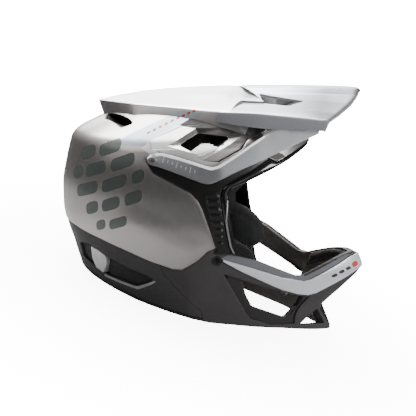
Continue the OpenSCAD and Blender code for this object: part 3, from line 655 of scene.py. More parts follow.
# Near-white paint for the slope along the arms' upper edge: a painted highlight.
ARM_EDGE_HIGHLIGHT = paint("arm_edge_highlight_paint", (0.88, 0.89, 0.90), 0.3, 0.1, 0.35, 0.02)
TICK = paint("tick_paint", (0.62, 0.63, 0.66), 0.4, 0.0, 0.3, 0.02)
# Mid grey for the rear vents' lip, and for the thin line along the eye trim, which is a painted highlight.
LIP_AND_HIGHLIGHT = paint("vent_lip_and_trim_highlight_paint", (0.30, 0.30, 0.31), 0.36, 0.3, 0.2, 0.03)
METAL = paint("bolt_metal", (0.03, 0.03, 0.03), 0.3, 0.9, 0.0, 0.1, 0.1)
STEEL = paint("blade_metal", (0.45, 0.45, 0.46), 0.28, 1.0, 0.0, 0.05, 0.1)
LEVER = paint("lever_plastic", (0.38, 0.02, 0.02), 0.42, 0.0, 0.0, 0.06, 0.15)
FOAM = foam("bead_foam", (0.010, 0.0098, 0.0095))
PAD = fabric("pad_knit", (0.012, 0.012, 0.0125))
# A lighter copy of the pad knit for the chin pad: painted light in the dark inside of the chin guard.
CHIN_KNIT_PAINTED_LIGHT = fabric("chin_pad_knit_painted_light", (0.06, 0.056, 0.053))
WEB = fabric("strap_weave", (0.012, 0.012, 0.013), 1100, 0.7, 0.8, 0.15)

# Outlines in side view, x and z in worn millimetres

panel_line = [(-180, -4), (-150.5, -5.1), (-136, -7.2), (-103, -15), (-74, -24.3), (-47, -34.3), (-25, -41),
              (-15.6, -41.2), (-8.6, -37.2), (2, -30.2), (11.6, -20.5), (19.8, -16.7)]
frame_back = [(19.8, -16.7), (14.4, 1.7), (10, 15), (6.5, 25.4), (2.8, 33), (-5.6, 41.6), (-16, 46.5),
              (-44, 60), (-48, 65.5), (-52, 71.5)]
frame_top = [(-52, 71.5), (-47, 75), (-36, 77), (-16, 72), (8, 64), (15, 62), (23, 65), (44, 74), (66, 79.5),
             (73, 73.4)]
brow_line = [(73, 73.4), (80.5, 69.6), (99, 77.6), (106, 80), (125, 84)]
trim_out = brow_line[::-1] + [(54, 61.5), (32, 50.5), (27, 46.5), (24.5, 39), (25.3, 31), (28, 12), (30, 0),
                              (32.8, -17), (35.5, -25)]
trim_in = [(44, -28.6), (42, -22.5), (40, -16), (37.5, 0), (35.5, 12), (33.5, 31), (34, 40), (37, 46),
           (47, 49.5), (70, 59), (90, 67.5), (101, 73), (112, 78), (125, 80)]
chin_top = [(19.8, -16.7), (21, -24.2), (35.5, -25.4), (44, -29), (65, -37), (105, -59), (113, -60),
            (147, -47), (158, -44), (190, -44)]
rim = [(-180, -50), (-150, -56), (-131, -62), (-109, -69), (-82, -78), (-54, -88), (-25, -97), (3, -105),
       (34, -111), (61, -117), (89, -122.5), (99, -125), (141, -135)]
upper_area = panel_line + frame_back[1:] + frame_top[1:] + brow_line[1:] + [(125, 160), (-180, 160)]
parting = [(-38, -38), (-36, -48), (-14, -75), (2, -92), (6, -115)]
low_area = [p for p in panel_line if p[0] < -40] + parting + [(6, -160), (-180, -160)]
chin_area = parting[::-1] + [p for p in panel_line if p[0] > -30] + chin_top[1:] + [(190, -60), (171, -62),
                                                                                    (167, -68),
                                                                                    (129.4, -100.5),
                                                                                    (127.5, -107),
                                                                                    (139.2, -130.7),
                                                                                    (138, -160), (6, -160)]
chin_window = rounded([(27.3, -48), (48.4, -57.7), (65.7, -65.6), (93.5, -78.2), (102, -82.8), (113, -86.2),
                       (117, -86.6), (110.4, -93.1), (103.7, -101.7), (100.6, -111), (100.2, -119),
                       (74.5, -115.8), (53, -104.8), (50.6, -100)], 1.6)
window_in = rounded([(46.5, -58.5), (55.3, -57.4), (78, -66), (99.6, -73.8), (112, -79), (108, -93.5),
                     (103.3, -99.5), (93.4, -110.2), (56.5, -91), (50, -75)], 3)
prow_window = rounded([(124.5, -105.2), (121.3, -107.6), (114.8, -112.6), (105.5, -121.4), (133, -125.4),
                       (126.3, -109.5)], 1.2)
band_up = [(24.6, -29.6), (55, -42.6), (86, -57.5), (109, -65), (116, -64.2), (147, -51.5), (159, -46.5),
           (190, -44)]
band_low = [(190, -61), (171, -60.5), (150, -71), (122, -83), (113, -84), (102, -80.5), (86, -72.5),
            (45, -46)]
# Corners of the facets of the side scoops, x and z with the depth; a to k are the outline
SCOOP = {
    "a": (-49, 91, 0.2), "b": (-18, 104, 0.2), "c": (-2, 105, 0.3), "d": (38, 104, 0.4), "e": (52, 95, 2.0),
    "f": (46, 84, 4.6), "g": (23, 72, 4.6), "h": (7, 74, 1.2), "i": (-7, 81.5, 0.3), "j": (-20, 85, 0.2),
    "k": (-47, 83.5, 0.2), "p": (-29.5, 87.4, 0.5), "q": (-4, 102.4, 0.6), "w1": (-19.0, 87.9, 4.6),
    "w2": (-0.8, 99.0, 5.4), "v3": (31, 95.6, 5.2), "v4": (32.6, 93.2, 4.4), "v5": (21.1, 85.3, 2.6),
    "v6": (-5.2, 81.6, 1.0), "v7": (4.6, 78.4, 1.2), "x1": (43.5, 95.6, 0.6)}
scoop_area = [SCOOP[k][:2] for k in "abcdefghijk"]
rear_vent = rounded([(-134, -28), (-122, -24.6), (-107.6, -29.8), (-100, -34.5), (-74, -44.5), (-53, -51.5),
                     (-46, -56), (-52, -59), (-66, -65), (-102, -57), (-113.5, -52), (-131, -45)], 3)
rear_strut = [(-117.5, -27), (-108, -29.9), (-100, -34.7), (-98.5, -43), (-104, -56.2), (-113, -52),
              (-117, -42)]
tail_vent = rounded([(-108, -17), (-74, -58.5), (-71.5, -65), (-84, -67), (-108, -34)], 3)
below_rim = rim + [(141, -220), (-180, -220)]
# Places of the cheek bolts and the pivot bolts
CHEEK, PIVOT = (20.4, -32.0), (-44, 73.6)
# Depths from the form: inside of the painted shell, outside and inside of the dark shells; the liner's outside,
# above and below, behind the scoops and behind the struts; its inside below and above, and its air channels
SHELL_IN, DARK_OUT, DARK_IN = 3.0, 0.9, 3.5
LINER_OUT, LINER_LOW_OUT, SCOOP_BACK, STRUT_BACK = 3.6, 3.8, 8.6, 12.3
LINER_IN, LINER_TOP_IN, CHANNEL_DEEP, CHANNEL_PITCH = 20.8, 23.6, 4.0, 42


def box(x0, x1, z0, z1):
    return [(x0, z0), (x1, z0), (x1, z1), (x0, z1)]


def circle(centre, r, n):
    return [(centre[0] + r * math.cos(k * 2 * math.pi / n), centre[1] + r * math.sin(k * 2 * math.pi / n))
            for k in range(n)]


def lifted(line, up):
    return [(p[0], p[1] + up) for p in line]


def step(a, b, v):
    f = np.clip((v - a) / (b - a), 0, 1)
    return f * f * (3 - 2 * f)


def surf_y(x, z, d=0.0):
    """Half width of the form drawn in by d at a side-view point."""
    t, v = to_tv(x, z)
    return -at(t, v, d)[..., 1]


def bar(cx, cz, length, width, slope, lean=0.0):
    """A slanted bar with round corners in side view."""
    u = np.array([math.cos(slope), math.sin(slope)])
    w = np.array([-math.sin(slope + lean), math.cos(slope + lean)])
    c = np.array([cx, cz])
    p = [c - u * length / 2 - w * width / 2, c + u * length / 2 - w * width / 2,
         c + u * length / 2 + w * width / 2, c - u * length / 2 + w * width / 2]
    return rounded(p, width * 0.42, 3)


# Upper shell with a block of slanted bars, a pale stripe and a row of small red dashes

BARS = [(-118, 74, 20, 13), (-92, 82, 26, 13), (-130, 52, 14, 13), (-108, 59, 26, 13), (-77, 69, 28, 13),
        (-118, 37, 28, 13), (-86, 47, 30, 13), (-60, 56, 14, 13), (-112, 18, 16, 13), (-90, 25, 22, 13),
        (-65, 34, 20, 13), (-102, 1, 12, 11), (-82, 6, 22, 11)]
BAR_SLOPE, BAR_LEAN, STRIPE_SLOPE = 0.37, -0.35, 0.47


def dash(i):
    """Red dash number i along the stripe."""
    x = -52 + 5.6 * i
    return bar(x, 97.5 + STRIPE_SLOPE * (x + 52), 3.6, 2.0, STRIPE_SLOPE)


STRIPE_AREA = [(-92, 86), (-56.8, 87.5), (-17.7, 106.7), (1.2, 118.1), (24, 131), (2, 131), (-19.3, 119.3),
               (-42.1, 108.8)]
# Patches on the upper shell: the area beside the scoop, the gap over the arm and the notch by the brow in the
# dark paint are painted shade; the ledge over the arm in the pale paint is painted light; the brow in the
# darker copy of the silver is painted shade.
SHADE_AREA = [(-22.3, 104.8), (-18, 104), (-2, 105), (38, 104), (52, 95), (66, 98), (66, 122), (0, 122),
              (-0.5, 116.8)]
LEDGE = [(-58, 84.5), (-49, 91), (-47, 83.5), (-20, 85), (-7, 81.5), (7, 74), (23, 72), (46, 84), (47, 80),
         (24, 66), (8, 66), (-16, 72), (-36, 77), (-47, 77.5)]
ARM_GAP_SHADOW = [(-40, 81.8), (-16, 76.9), (8, 70.1), (15.6, 67.9), (22.5, 70.0), (22.5, 66), (15.6, 63), (8, 65.5),
           (-16, 72.6), (-36, 77.4)]
NOTCH = [(62, 81), (73, 73.4), (80.5, 69.6), (88, 73), (84, 77), (74, 80.5)]
BROW = [(84, 77), (88, 73), (99, 77.6), (106, 80), (125, 84), (125, 92), (104, 88), (92, 84)]
inlays = [(LEDGE, 4), (SHADE_AREA, 5), (ARM_GAP_SHADOW, 5), (STRIPE_AREA, 2)]
inlays += [(bar(*b, BAR_SLOPE, BAR_LEAN), 1) for b in BARS] + [(dash(i), 3) for i in range(7)]
inlays += [(NOTCH, 5), (BROW, 6)]
FOLD = [(-66.6, 8.4), (-37.1, -6.8), (1.6, -29.9)]


def fold_d(x, z):
    """A soft fold that runs down and forward over the side."""
    near = np.clip(1 - line_dist(x, z, FOLD) / 20, 0, 1)
    clear = np.minimum(line_dist(x, z, panel_line), line_dist(x, z, frame_back))
    return -1.1 * near * step(0.5, 9, clear)


panel("upper_shell", [upper_area], fold_d, SHELL_IN, [GREY, LETTER, STRIPE, RED, PAINTED_LIGHT_PALE, SHADE, WALL_SHADE],
      "grey_shell", "upper_shell", [scoop_area], [tail_vent], inlays, h=3.4, bevel=0.35)


# Side scoops: facets by their corners, and the paint of each: up-facing facets pale, as painted light, facets
# in the recess dark, as painted shade, the rest plain grey

FACETS = [("a", "b", "q", "p"), ("b", "c", "q"), ("a", "p", "j", "k"), ("p", "q", "w2", "w1"),
          ("q", "c", "d", "w2"), ("w2", "d", "v3"), ("d", "x1", "v4", "v3"), ("d", "e", "x1"),
          ("x1", "e", "f"), ("x1", "f", "g", "h"), ("h", "i", "v6", "v7"), ("h", "v7", "v5"),
          ("h", "v5", "v4", "x1"), ("v6", "i", "j", "w1"), ("j", "p", "w1")]
FACET_PAINT = [1, 2, 1, 0, 2, 2, 2, 2, 0, 0, 1, 1, 0, 1, 1]


def facet_height(points, facets, base):
    """Depth at a side-view point, from flat facets between the points."""
    tris = []
    for f in facets:
        ring = [points[k] for k in f]
        for i in range(1, len(ring) - 1):
            tris.append((ring[0], ring[i], ring[i + 1]))

    def height(x, z):
        x, z = np.asarray(x, float), np.asarray(z, float)
        out = np.full(x.shape, float(base))
        best = np.full(x.shape, -1e9)
        for a, b, c in tris:
            den = (b[1] - c[1]) * (a[0] - c[0]) + (c[0] - b[0]) * (a[1] - c[1])
            if abs(den) < 1e-9:
                continue
            u = ((b[1] - c[1]) * (x - c[0]) + (c[0] - b[0]) * (z - c[1])) / den
            v = ((c[1] - a[1]) * (x - c[0]) + (a[0] - c[0]) * (z - c[1])) / den
            w = 1 - u - v
            inner = np.minimum(np.minimum(u, v), w)
            take = inner > best
            out = np.where(take, np.clip(u * a[2] + v * b[2] + w * c[2], -0.5, 8), out)
            best = np.where(take, inner, best)
        return out
    return height


scoop_d = facet_height(SCOOP, FACETS, 0.3)
scoop_vent = [SCOOP[k][:2] for k in ("w1", "w2", "v3", "v4", "v5", "v7", "v6")]
facet_lines = [([SCOOP[k][:2] for k in f], m) for f, m in zip(FACETS, FACET_PAINT)]
panel("side_scoop_*", [scoop_area], scoop_d, lambda x, z: scoop_d(x, z) + 2.2, [GREY, PAINTED_LIGHT_PALE, SHADE],
      "silver_shell", "side_scoop_*", [rounded(scoop_vent, 2.2, 3)], (),
      facet_lines, h=2.0, bevel=0.3, angle=14)
# Each vent has a ledge inside in plain white: a painted highlight where it faces the top lamp.
RAMP = [(-7.0, 80.8), (-1, 78.2), (6, 77.0), (21, 83.8), (23, 86.2), (12, 88.6), (4, 88.2), (-2, 84.8)]


def ramp_d(x, z):
    return 3.4 + 6.0 * np.clip((z - (79.6 + 0.2 * x)) / 8.0, 0, 1)


panel("scoop_ledge_*", [rounded(RAMP, 1.5, 2)], ramp_d, lambda x, z: ramp_d(x, z) + 1.6, [WHITE_HIGHLIGHT],
      "silver_shell", "side_scoop_*", h=1.5, bevel=0.3)


# Black frames with ribs beside the eye opening

frame_area = frame_back + frame_top[1:] + trim_out[5:] + [(21, -24.2)]
rib_area = [(22, -19), (27.5, -18), (26.5, 8), (23, 30), (22.5, 41), (24, 44), (10, 44), (12, 28), (18, 4)]


RIB_PITCH = 7.4


def wave(place, pitch):
    """A wave between 0 and 1, highest where place is 0."""
    return 0.5 + 0.5 * np.cos(place * 2 * math.pi / pitch)


def frame_d(x, z):
    edge = np.minimum(line_dist(x, z, frame_back), line_dist(x, z, trim_out))
    rib = np.where(in_poly(x, z, rib_area), step(0.3, 0.75, wave(z - 39.5, RIB_PITCH)), 0)
    under_arm = step(44, 56, z)
    return -0.1 - 1.5 * rib * step(0.2, 2.0, edge) - 0.7 * under_arm * step(0, 2, edge)


panel("side_frame_*", [frame_area], frame_d, SHELL_IN, [BLACK], "black_plastic",
      "side_frame_*", h=1.5, bevel=0.9, angle=40)


# Trim round the eye opening

def trim_d(x, z):
    """Round across, between the two edges of the trim."""
    a, b = line_dist(x, z, trim_out), line_dist(x, z, trim_in)
    f = a / np.maximum(a + b, 1e-6)
    return -0.6 + 2.2 * (1 - np.sin(np.pi * np.clip(f, 0, 1)) ** 0.7)


# A thin lighter line along the trim's inner rounding: a painted highlight.
TRIM_LINE = [(31.6, 34), (29.8, 12), (31.6, 0), (34.4, -17), (37.2, -24), (38.6, -23.4), (35.8, -16.4),
             (33.2, 0.4), (31.6, 12.4), (33, 34)]
panel("eyeport_trim", [trim_out + trim_in], trim_d, 6.0, [GLOSS, LIP_AND_HIGHLIGHT], "trim_rubber", "eyeport_trim",
      (), (), [(TRIM_LINE, 1)], h=1.7, bevel=0.7, angle=50)


# Lower shell, edging, struts, chin moulding, light band

VENT_LIP = [(-103, -57), (-85, -61), (-66, -65.2), (-52, -59.2), (-45.6, -56.2), (-44.4, -58.2), (-51, -62.4),
            (-65, -69.2), (-84, -64.8), (-104, -60)]
panel("lower_shell", [low_area], DARK_OUT, DARK_IN, [DARK, LIP_AND_HIGHLIGHT], "dark_shell", "lower_shell",
      [lifted(rim, 4.7) + below_rim[-2:], rear_vent], (), [(VENT_LIP, 1)], h=3.2, bevel=0.7)
EDGING = 4.5
neck_edge = rim[:8] + [(4.1, -105.2), (3.6, -100.7)] + lifted(rim[:8], EDGING)[::-1]


def edging_d(x, z):
    f = np.clip(line_dist(x, z, rim) / EDGING, 0, 1)
    return 0.5 + 1.6 * (1 - np.sin(np.pi * f) ** 0.6)


panel("neck_edging", [neck_edge], edging_d, 5.9, [TRIM], "trim_rubber", "neck_edging", h=1.5,
      bevel=0.9, angle=60)
# The rear struts are painted light grey: a painted reflection on their dark gloss plastic.
panel("rear_strut_*", [rounded(rear_strut, 1.4)], 0.1, 12.0, [STRUT_REFLECTION], "strut_grey",
      "rear_strut_*", h=2.0, bevel=0.9, low=-80.0)

bevel_strip = chin_top[2:] + [(190, -46)] + band_up[::-1][1:]
band_area = band_up + band_low


# Depth under the light band, and the slope along the top of the chin guard
BAND_BED, LEDGE_DEEP, LEDGE_WIDE = 1.5, 2.6, 7.5


def guard_d(x, z):
    top = line_dist(x, z, chin_top[1:])
    low = np.minimum(line_dist(x, z, band_up), line_dist(x, z, band_low))
    under_band = in_poly(x, z, band_area) & (low > 0.4)
    return np.where(under_band, BAND_BED, DARK_OUT + LEDGE_DEEP * step(LEDGE_WIDE, 0.0, top))


panel("chin_guard", [chin_area], guard_d, DARK_IN, [DARK, BEVEL, BLACK], "dark_shell", "chin_guard",
      [below_rim, chin_window, prow_window], (),
      [(bevel_strip, 1), (band_area, 0), (circle(CHEEK, 5.6, 24), 2)], h=2.4, bevel=0.7, angle=28)
rail = panel("chin_rail", [chin_area], 3.3, 11.0, [RAIL, INNER_PAINTED_LIGHT], "dark_shell", "chin_guard",
             [below_rim, window_in, prow_window, box(-100, 30, -200, 50)], h=2.4, bevel=1.2, angle=35)
# The faces of the rail that look inward are lighter: painted light, where the lamps hardly reach them
inside = stand([0, 0, 0])
for face in rail.data.polygons:
    away = np.array(face.center)[:2] - inside[:2]
    if float(away @ np.array(face.normal)[:2]) < -0.35 * float(np.linalg.norm(away)):
        face.material_index = 1

BAND_SLOPE = 0.38
MOTIF = [(141, -63.8, 6.0, 4.2), (148.6, -61.0, 5.6, 4.2), (155.6, -58.4, 5.0, 4.2)]
band_inlays = [(bar(*b, BAND_SLOPE, 0.3), 1) for b in MOTIF]
band_inlays.append((bar(162.6, -55.6, 6.0, 6.4, BAND_SLOPE, 0.1), 2))
panel("chin_band", [band_area + [(27, -33)]], -0.8, 1.2, [BAND, DARK, RED], "band_silver", "chin_band",
      [box(0, 27, 0, -100)], (), band_inlays, h=2.2, bevel=0.7)


# Foam liner with air channels on its inside

def liner_d(x, z):
    return np.where(in_poly(x, z, scoop_area), SCOOP_BACK, LINER_OUT)


def channels(x, z):
    lane = step(0.55, 0.8, wave(x - XW, CHANNEL_PITCH))
    return LINER_TOP_IN - CHANNEL_DEEP * step(30, 60, z) * lane


upper_cut = [(-200, -13), (23, -13), (23, 38), (25, 47), (32, 51.5), (54, 62.5), (72, 74.5), (80.5, 71),
             (99, 79), (125, 86), (200, 86), (200, -60), (-200, -60)]
vent_cut = [(-19, 87.5), (-0.5, 99), (31, 95), (32.5, 92.5), (22, 84.5), (5, 77.4), (-7, 81.0)]
panel("liner_upper", [box(-200, 200, -150, 160)], liner_d, channels, [FOAM], "foam_liner", "liner_upper",
      [upper_cut, vent_cut], [tail_vent], h=4.5, bevel=1.5, low=-30.0)
lower_cut = [(23, 150), (23, -25), (29.6, -25), (29.6, -200), (250, -200), (250, 150)]


def liner_low_d(x, z):
    return np.where(in_poly(x, z, rear_strut), STRUT_BACK, LINER_LOW_OUT)


panel("liner_lower", [[(-200, -13.2), (23, -13.2), (40, -13.2), (40, -160), (-200, -160)]], liner_low_d,
      LINER_IN, [FOAM], "foam_liner", "liner_lower", [lower_cut, lifted(rim, 6.5) + below_rim[-2:]],
      h=4.0, bevel=1.5)


# Lofted pieces: sections of points, closed at both ends

def loft(rows):
    rows = [np.asarray(r, float) for r in rows]
    n = len(rows[0])
    verts = np.concatenate(rows)
    faces = []
    for i in range(len(rows) - 1):
        for j in range(n):
            k = (j + 1) % n
            faces.append((i * n + j, i * n + k, (i + 1) * n + k, (i + 1) * n + j))
    faces.append(tuple(range(n))[::-1])
    faces.append(tuple(range((len(rows) - 1) * n, len(rows) * n)))
    return verts, faces


def raw(verts, faces):
    """A passing object for the cutting of solids, in worn millimetres."""
    ob, me = mesh_object("raw", verts, faces)
    bm = bmesh.new()
    bm.from_mesh(me)
    bmesh.ops.remove_doubles(bm, verts=bm.verts, dist=1e-4)
    bmesh.ops.recalc_face_normals(bm, faces=bm.faces)
    bm.to_mesh(me)
    bm.free()
    return ob


def carve(solid, cut=(), keep=()):
    """What a solid has inside the solids of keep and outside the solids of cut, as points and faces."""
    ob = raw(*solid)
    used = [ob]
    for op, cutter in [("INTERSECT", k) for k in keep] + [("DIFFERENCE", c) for c in cut]:
        tool = raw(*cutter)
        used.append(tool)
        m = ob.modifiers.new("cut", "BOOLEAN")
        m.operation = op
        m.solver = "EXACT"
        m.object = tool
    bpy.context.view_layer.update()
    ev = ob.evaluated_get(bpy.context.evaluated_depsgraph_get())
    me = ev.to_mesh()
    verts = np.array([v.co[:] for v in me.vertices])
    faces = [tuple(p.vertices) for p in me.polygons]
    ev.to_mesh_clear()
    for o in used:
        data = o.data
        bpy.data.objects.remove(o)
        bpy.data.meshes.remove(data)
    return verts, faces


def soften(ob, width, angle=35, segments=2):
    """Small rounding of the sharp edges."""
    b = ob.modifiers.new("rounding", "BEVEL")
    b.width = width / 1000
    b.segments = segments
    b.limit_method = "ANGLE"
    b.angle_limit = math.radians(angle)
    b.harden_normals = True
    return ob


def prism(poly, axis, lo, hi):
    """An outline in side view (axis 1) or in plan (axis 2) run along the third axis from lo to hi."""
    return loft([[(a, s, b) if axis == 1 else (a, b, s) for a, b in poly] for s in (lo, hi)])


CROWN_WALL, VISOR_WALL, VISOR_LONG = 2.8, 2.6, 160.0
# Crown plate, rear to front: x, edge y, edge and middle height from the top, then x, y and height of the foot
CROWN_ST = [(-120, 3, -14.6, -14.0, -113, 3, -36), (-110, 15, -13.6, -11.6, -107, 17, -38),
            (-97, 28, -12.8, -9, -94, 34, -40), (-74, 45, -12, -5, -72, 57, -40),
            (-44, 55, -12.7, -1.5, -43, 66, -42), (-22, 60, -13.6, 0.4, -22, 71, -44),
            (0, 65.5, -14.8, 1.6, 0, 75, -46), (22, 71, -15.2, 2.6, 22, 79, -48),
            (45, 73, -15.7, 3, 45, 80, -48), (72, 73, -17, 3, 72, 80, -48)]
# How far the seam between crown plate and visor runs back for each millimetre up
LEAN = 0.95


def crown_rows(t):
    """Sections of the crown plate drawn in by t, rear to front."""
    st = np.array(CROWN_ST)
    along = np.arange(len(st), dtype=float)
    rows = []
    for s in np.arange(0, len(st) - 1 + 1e-6, 1 / 3):
        x, y, ze, zm, xf, yf, zf = [float(smooth(along, st[:, i], s)) if i in (2, 3) else
                                    float(np.interp(s, along, st[:, i])) for i in range(7)]
        f = 0.13 + 0.37 * float(step(20, 45, x))
        ye = y - (t if y > 10 else 1 if t else 0)
        edge, mid, h = TOP + ze - t, TOP + zm - t, zm - ze
        ys = np.array([0, 0.3, 0.66, 1.0]) * ye
        zs = np.array([mid, mid - f * h * 0.9, mid - 0.56 * h, edge])
        top = [(a, float(smooth(ys, zs, a))) for a in np.linspace(0, ye, 12)]
        half = rounded(top + [(yf - t, TOP + zf - t)], [0] * 11 + [1.8] + [0], 3, closed=False)
        xs = np.concatenate([np.full(len(half) - 1, x + t), [xf + t]])
        right = [(a, -b, c) for a, (b, c) in zip(xs, half)]
        rows.append(right + [(a, b, c) for a, (b, c) in zip(xs, half)][:0:-1])
    return rows


def seam_line(g):
    """Seam of the crown plate in plan, set back by a gap g."""
    return [(42 - g, 0), (54.7 - g, -20 - g * 0.3), (63 - g, -46 + g), (39.8 - g * 0.5, -45 + g),
            (22 - g, -72 + g * 0.4), (8 - g, -92)]


def seam_block(g):
    h = [(a, -b) for a, b in seam_line(g)[::-1]] + seam_line(g)[1:] + [(-150, -92), (-150, 92)]
    z0, z1, zr = TOP - 50, TOP + 16, TOP - 6
    return loft([[(a - LEAN * (z - zr), b, z) for a, b in h] for z in (z0, z1)])


# Lines of the visor from the middle out: y, tip, and heights from the top along x
VISOR_LINES = [
    (0, 164, [(0, 2), (42, 3), (100, 3.7), (150, 3.2), (164, 1.6)]),
    (12, 162.5, [(0, 2), (42, 2.6), (100, 3.3), (150, 2.7), (164, 1.2)]),
    (19, 160, [(0, -2), (42, -2), (100, -2.5), (150, -3), (164, -3.4)]),
    (34, 154, [(0, -8), (42, -7.5), (100, -7.2), (150, -9.5), (164, -10.4)]),
    (58, 141, [(0, -12), (42, -11.4), (100, -13.4), (140, -17.8), (164, -19)]),
    (80, 132.5, [(0, -15.4), (22, -14.8), (45, -15), (85, -17.5), (131, -21.4), (164, -24)]),
    (80, 128, [(0, -23.6), (10.7, -24), (45.5, -28.7), (74, -31), (128, -32), (164, -33)])]


def visor_pt(i, f, t):
    """Point at part f of line i, drawn in by t."""
    y, tip, line = VISOR_LINES[i]
    x = 4 + (tip - 4) * f
    z = float(smooth([p[0] for p in line], [p[1] for p in line], x))
    if i < 5:
        return (x + t * LEAN * (1 - f), -y, TOP + z - t)
    y = 80 - (3.5 if i == 5 else 0) - float(np.interp(x, [0, 60, 100, 140], [3, 1, 0, 0]))
    return (x + t * LEAN * (1 - f), -(y - t), TOP + z - (t if i == 5 else 0))


ROUND = [0, 1.5, 1.5, 2.5, 2.0, 2.2, 0]


def visor_half(f, t, lip):
    """Half a section of the visor at part f, drawn in by t, its upper side lowered by lip."""
    p = np.array([visor_pt(i, f, t) for i in range(7)])
    p[:, 2] -= lip * (1 if t == 0 else 0)
    return rounded(p, [max(0.0, r - (t * 0.5 if r else 0)) for r in ROUND], 3, closed=False)


def visor_rows(rows_at):
    rows = []
    flip = np.array([1, -1, 1])
    for f, lip in rows_at:
        o = visor_half(f, 0, lip)
        i = visor_half(f, VISOR_WALL, 0)
        rows.append(np.concatenate([o[::-1], (o * flip)[1:], (i * flip)[1:][::-1], i]))
    return rows


def facet_zone(g):
    """The room of the visor's right side wall, wider by g."""
    rows = []
    for f in (0.0, 0.09, 0.18, 0.34, 0.45):
        a, b = visor_pt(5, f, 0), visor_pt(6, f, 0)
        i = VISOR_WALL + g
        rows.append([(a[0], a[1] - 6, a[2] + 6), (b[0], b[1] - 6, b[2] - 1), (b[0], b[1] + i, b[2] - 1),
                     (a[0], a[1] + i, a[2] + 6)])
    return loft(rows)


def dome_form(d, low):
    """The form drawn in by d as a closed solid from height low up."""
    ts = np.linspace(-math.pi, math.pi, 72, endpoint=False)
    vs = np.concatenate([np.arange(low, CREASE, 5.0), np.arange(CREASE, CREASE + VS - 1, 4.0)])
    return loft([at(ts, np.full(72, v), d) for v in vs])


hollow = carve(loft(crown_rows(CROWN_WALL)), [prism(box(34, 100, -100, 100), 2, 60, 200)])
side_gap = facet_zone(0.5)
below = [hollow, dome_form(-0.4, 60), side_gap, mirrored(side_gap)]
crown = carve(loft(crown_rows(0)), below, [seam_block(1.0)])


def face_normal(pts):
    n = Vector((0, 0, 0))
    for a, b in zip(pts, pts[1:] + pts[:1]):
        n += a.cross(b)
    return n.normalized()


def wall_index(v, faces, nose=False):
    """For each face 1 on a side wall, and with nose also on a front edge, else 0: faces of 1 take a darker copy
    of the paint, painted shade.
    """
    out = []
    for f in faces:
        n = face_normal([Vector(v[k]) for k in f])
        wall = abs(n.y) > 0.55 and n.z < 0.72
        out.append(1 if wall or (nose and n.x > 0.5 and n.z < 0.6) else 0)
    return out


# The crown plate's side walls take the darker copy of the silver: painted shade.
soften(new_object("crown_plate", *crown, [SILVER, WALL_SHADE], "helmet", "silver_shell", "crown_plate",
                  wall_index(*crown)), 0.5)


# The pale stripe and its dashes go on over the wall of the crown plate

def wall_mark(outline, out):
    """What lies inside a side-view outline of the crown plate, standing out by a little."""
    moved = (crown[0] * np.array([1, 1 + out / 60, 1]), crown[1])
    return carve(moved, keep=[prism(outline, 1, -110, -35)])


STRIPE_WALL = [(-92, 86), (-56.8, 87.5), (-17.7, 106.7), (-0.5, 116.6), (-20.5, 118.0), (-42.1, 108.8)]
pair("crown_stripe_*", wall_mark(STRIPE_WALL, 0.2), [STRIPE], "helmet", "silver_shell", "crown_plate")
for i in range(3):
    pair("crown_dash_%d_*" % i, wall_mark(dash(i + 6), 0.4), [RED], "helmet", "silver_shell", "crown_plate")


# Visor, with its front edge rounded

visor_f = [(f, 0.0) for f in np.linspace(0, 1, 21)[:-1]]
visor_f += [(1 - VISOR_WALL / VISOR_LONG, 0.0), (1 - 1.2 / VISOR_LONG, 0.5), (1.0, 1.7)]
hole = prism(rounded([(56.5, -20.5), (105.3, -36), (90, -51), (64.5, -46.5)], 3.5, 4), 2, TOP - 44, TOP + 16)
NOSE = [(-10, -34), (10.7, -34), (20, -15), (20, 6), (-10, 6)]
notch = prism([(a, b + TOP) for a, b in NOSE], 1, -150, 150)
side_wall = facet_zone(0.0)
back_block = carve(seam_block(0.0), [side_wall, mirrored(side_wall)])
visor = carve(loft(visor_rows(visor_f)), [back_block, hole, mirrored(hole), notch])
# The visor's side walls and front edge take the darker copy of its paint: painted shade.
soften(new_object("visor", *visor, [VISOR_SILVER, VISOR_SIDE_SHADE], "visor_unit", "visor_silver", "visor",
                  wall_index(*visor, nose=True)), 0.5)


# Visor arms: a plate with a slope along its upper edge, painted near-white as a painted highlight

# Upper edge x and z, lower edge x and z, and the half width at each where it doesn't follow the form
ARM_ST = [
    (-50, 75.4, -50, 71.6, 0, 0), (-47.5, 78.4, -47.3, 69.2, 0, 0), (-37.3, 81.2, -36.4, 67.0, 0, 0),
    (-16, 76.7, -15.5, 60.2, 0, 0), (8, 69.9, 8.7, 51.6, 0, 0), (15.6, 67.6, 15.6, 51.4, 0, 0),
    (23.7, 70.2, 27, 56.6, 109.2, 110.5), (44, 82.2, 44, 64.5, 98.5, 103.2), (60, 92.5, 60, 70.6, 87, 96),
    (73.7, 101, 73.5, 76.4, 77.4, 88), (84, 107, 84, 80.6, 75, 82.5), (92, 110, 92, 84.5, 74, 80),
    (106, 109, 106, 91.2, 73.8, 77.4), (122, 107.5, 122, 98.4, 73.6, 75.4)]
ARM_OFF, ARM_THICK = 4.4, 3.2
top_line, low_line = [], []
for xt, zt, xb, zb, yt, yb in ARM_ST:
    yt = yt or float(surf_y(xt, zt)) + ARM_OFF
    yb = yb or float(surf_y(xb, zb)) + ARM_OFF
    top_line.append((xt, -yt, zt))
    low_line.append((xb, -yb, zb))
corner = [3, 3, 6, 6, 6, 5, 5, 6, 6, 6, 6, 6, 6, 6]
top_line = rounded(top_line, corner, 4, closed=False)
low_line = rounded(low_line, corner, 4, closed=False)
arm_rows = []
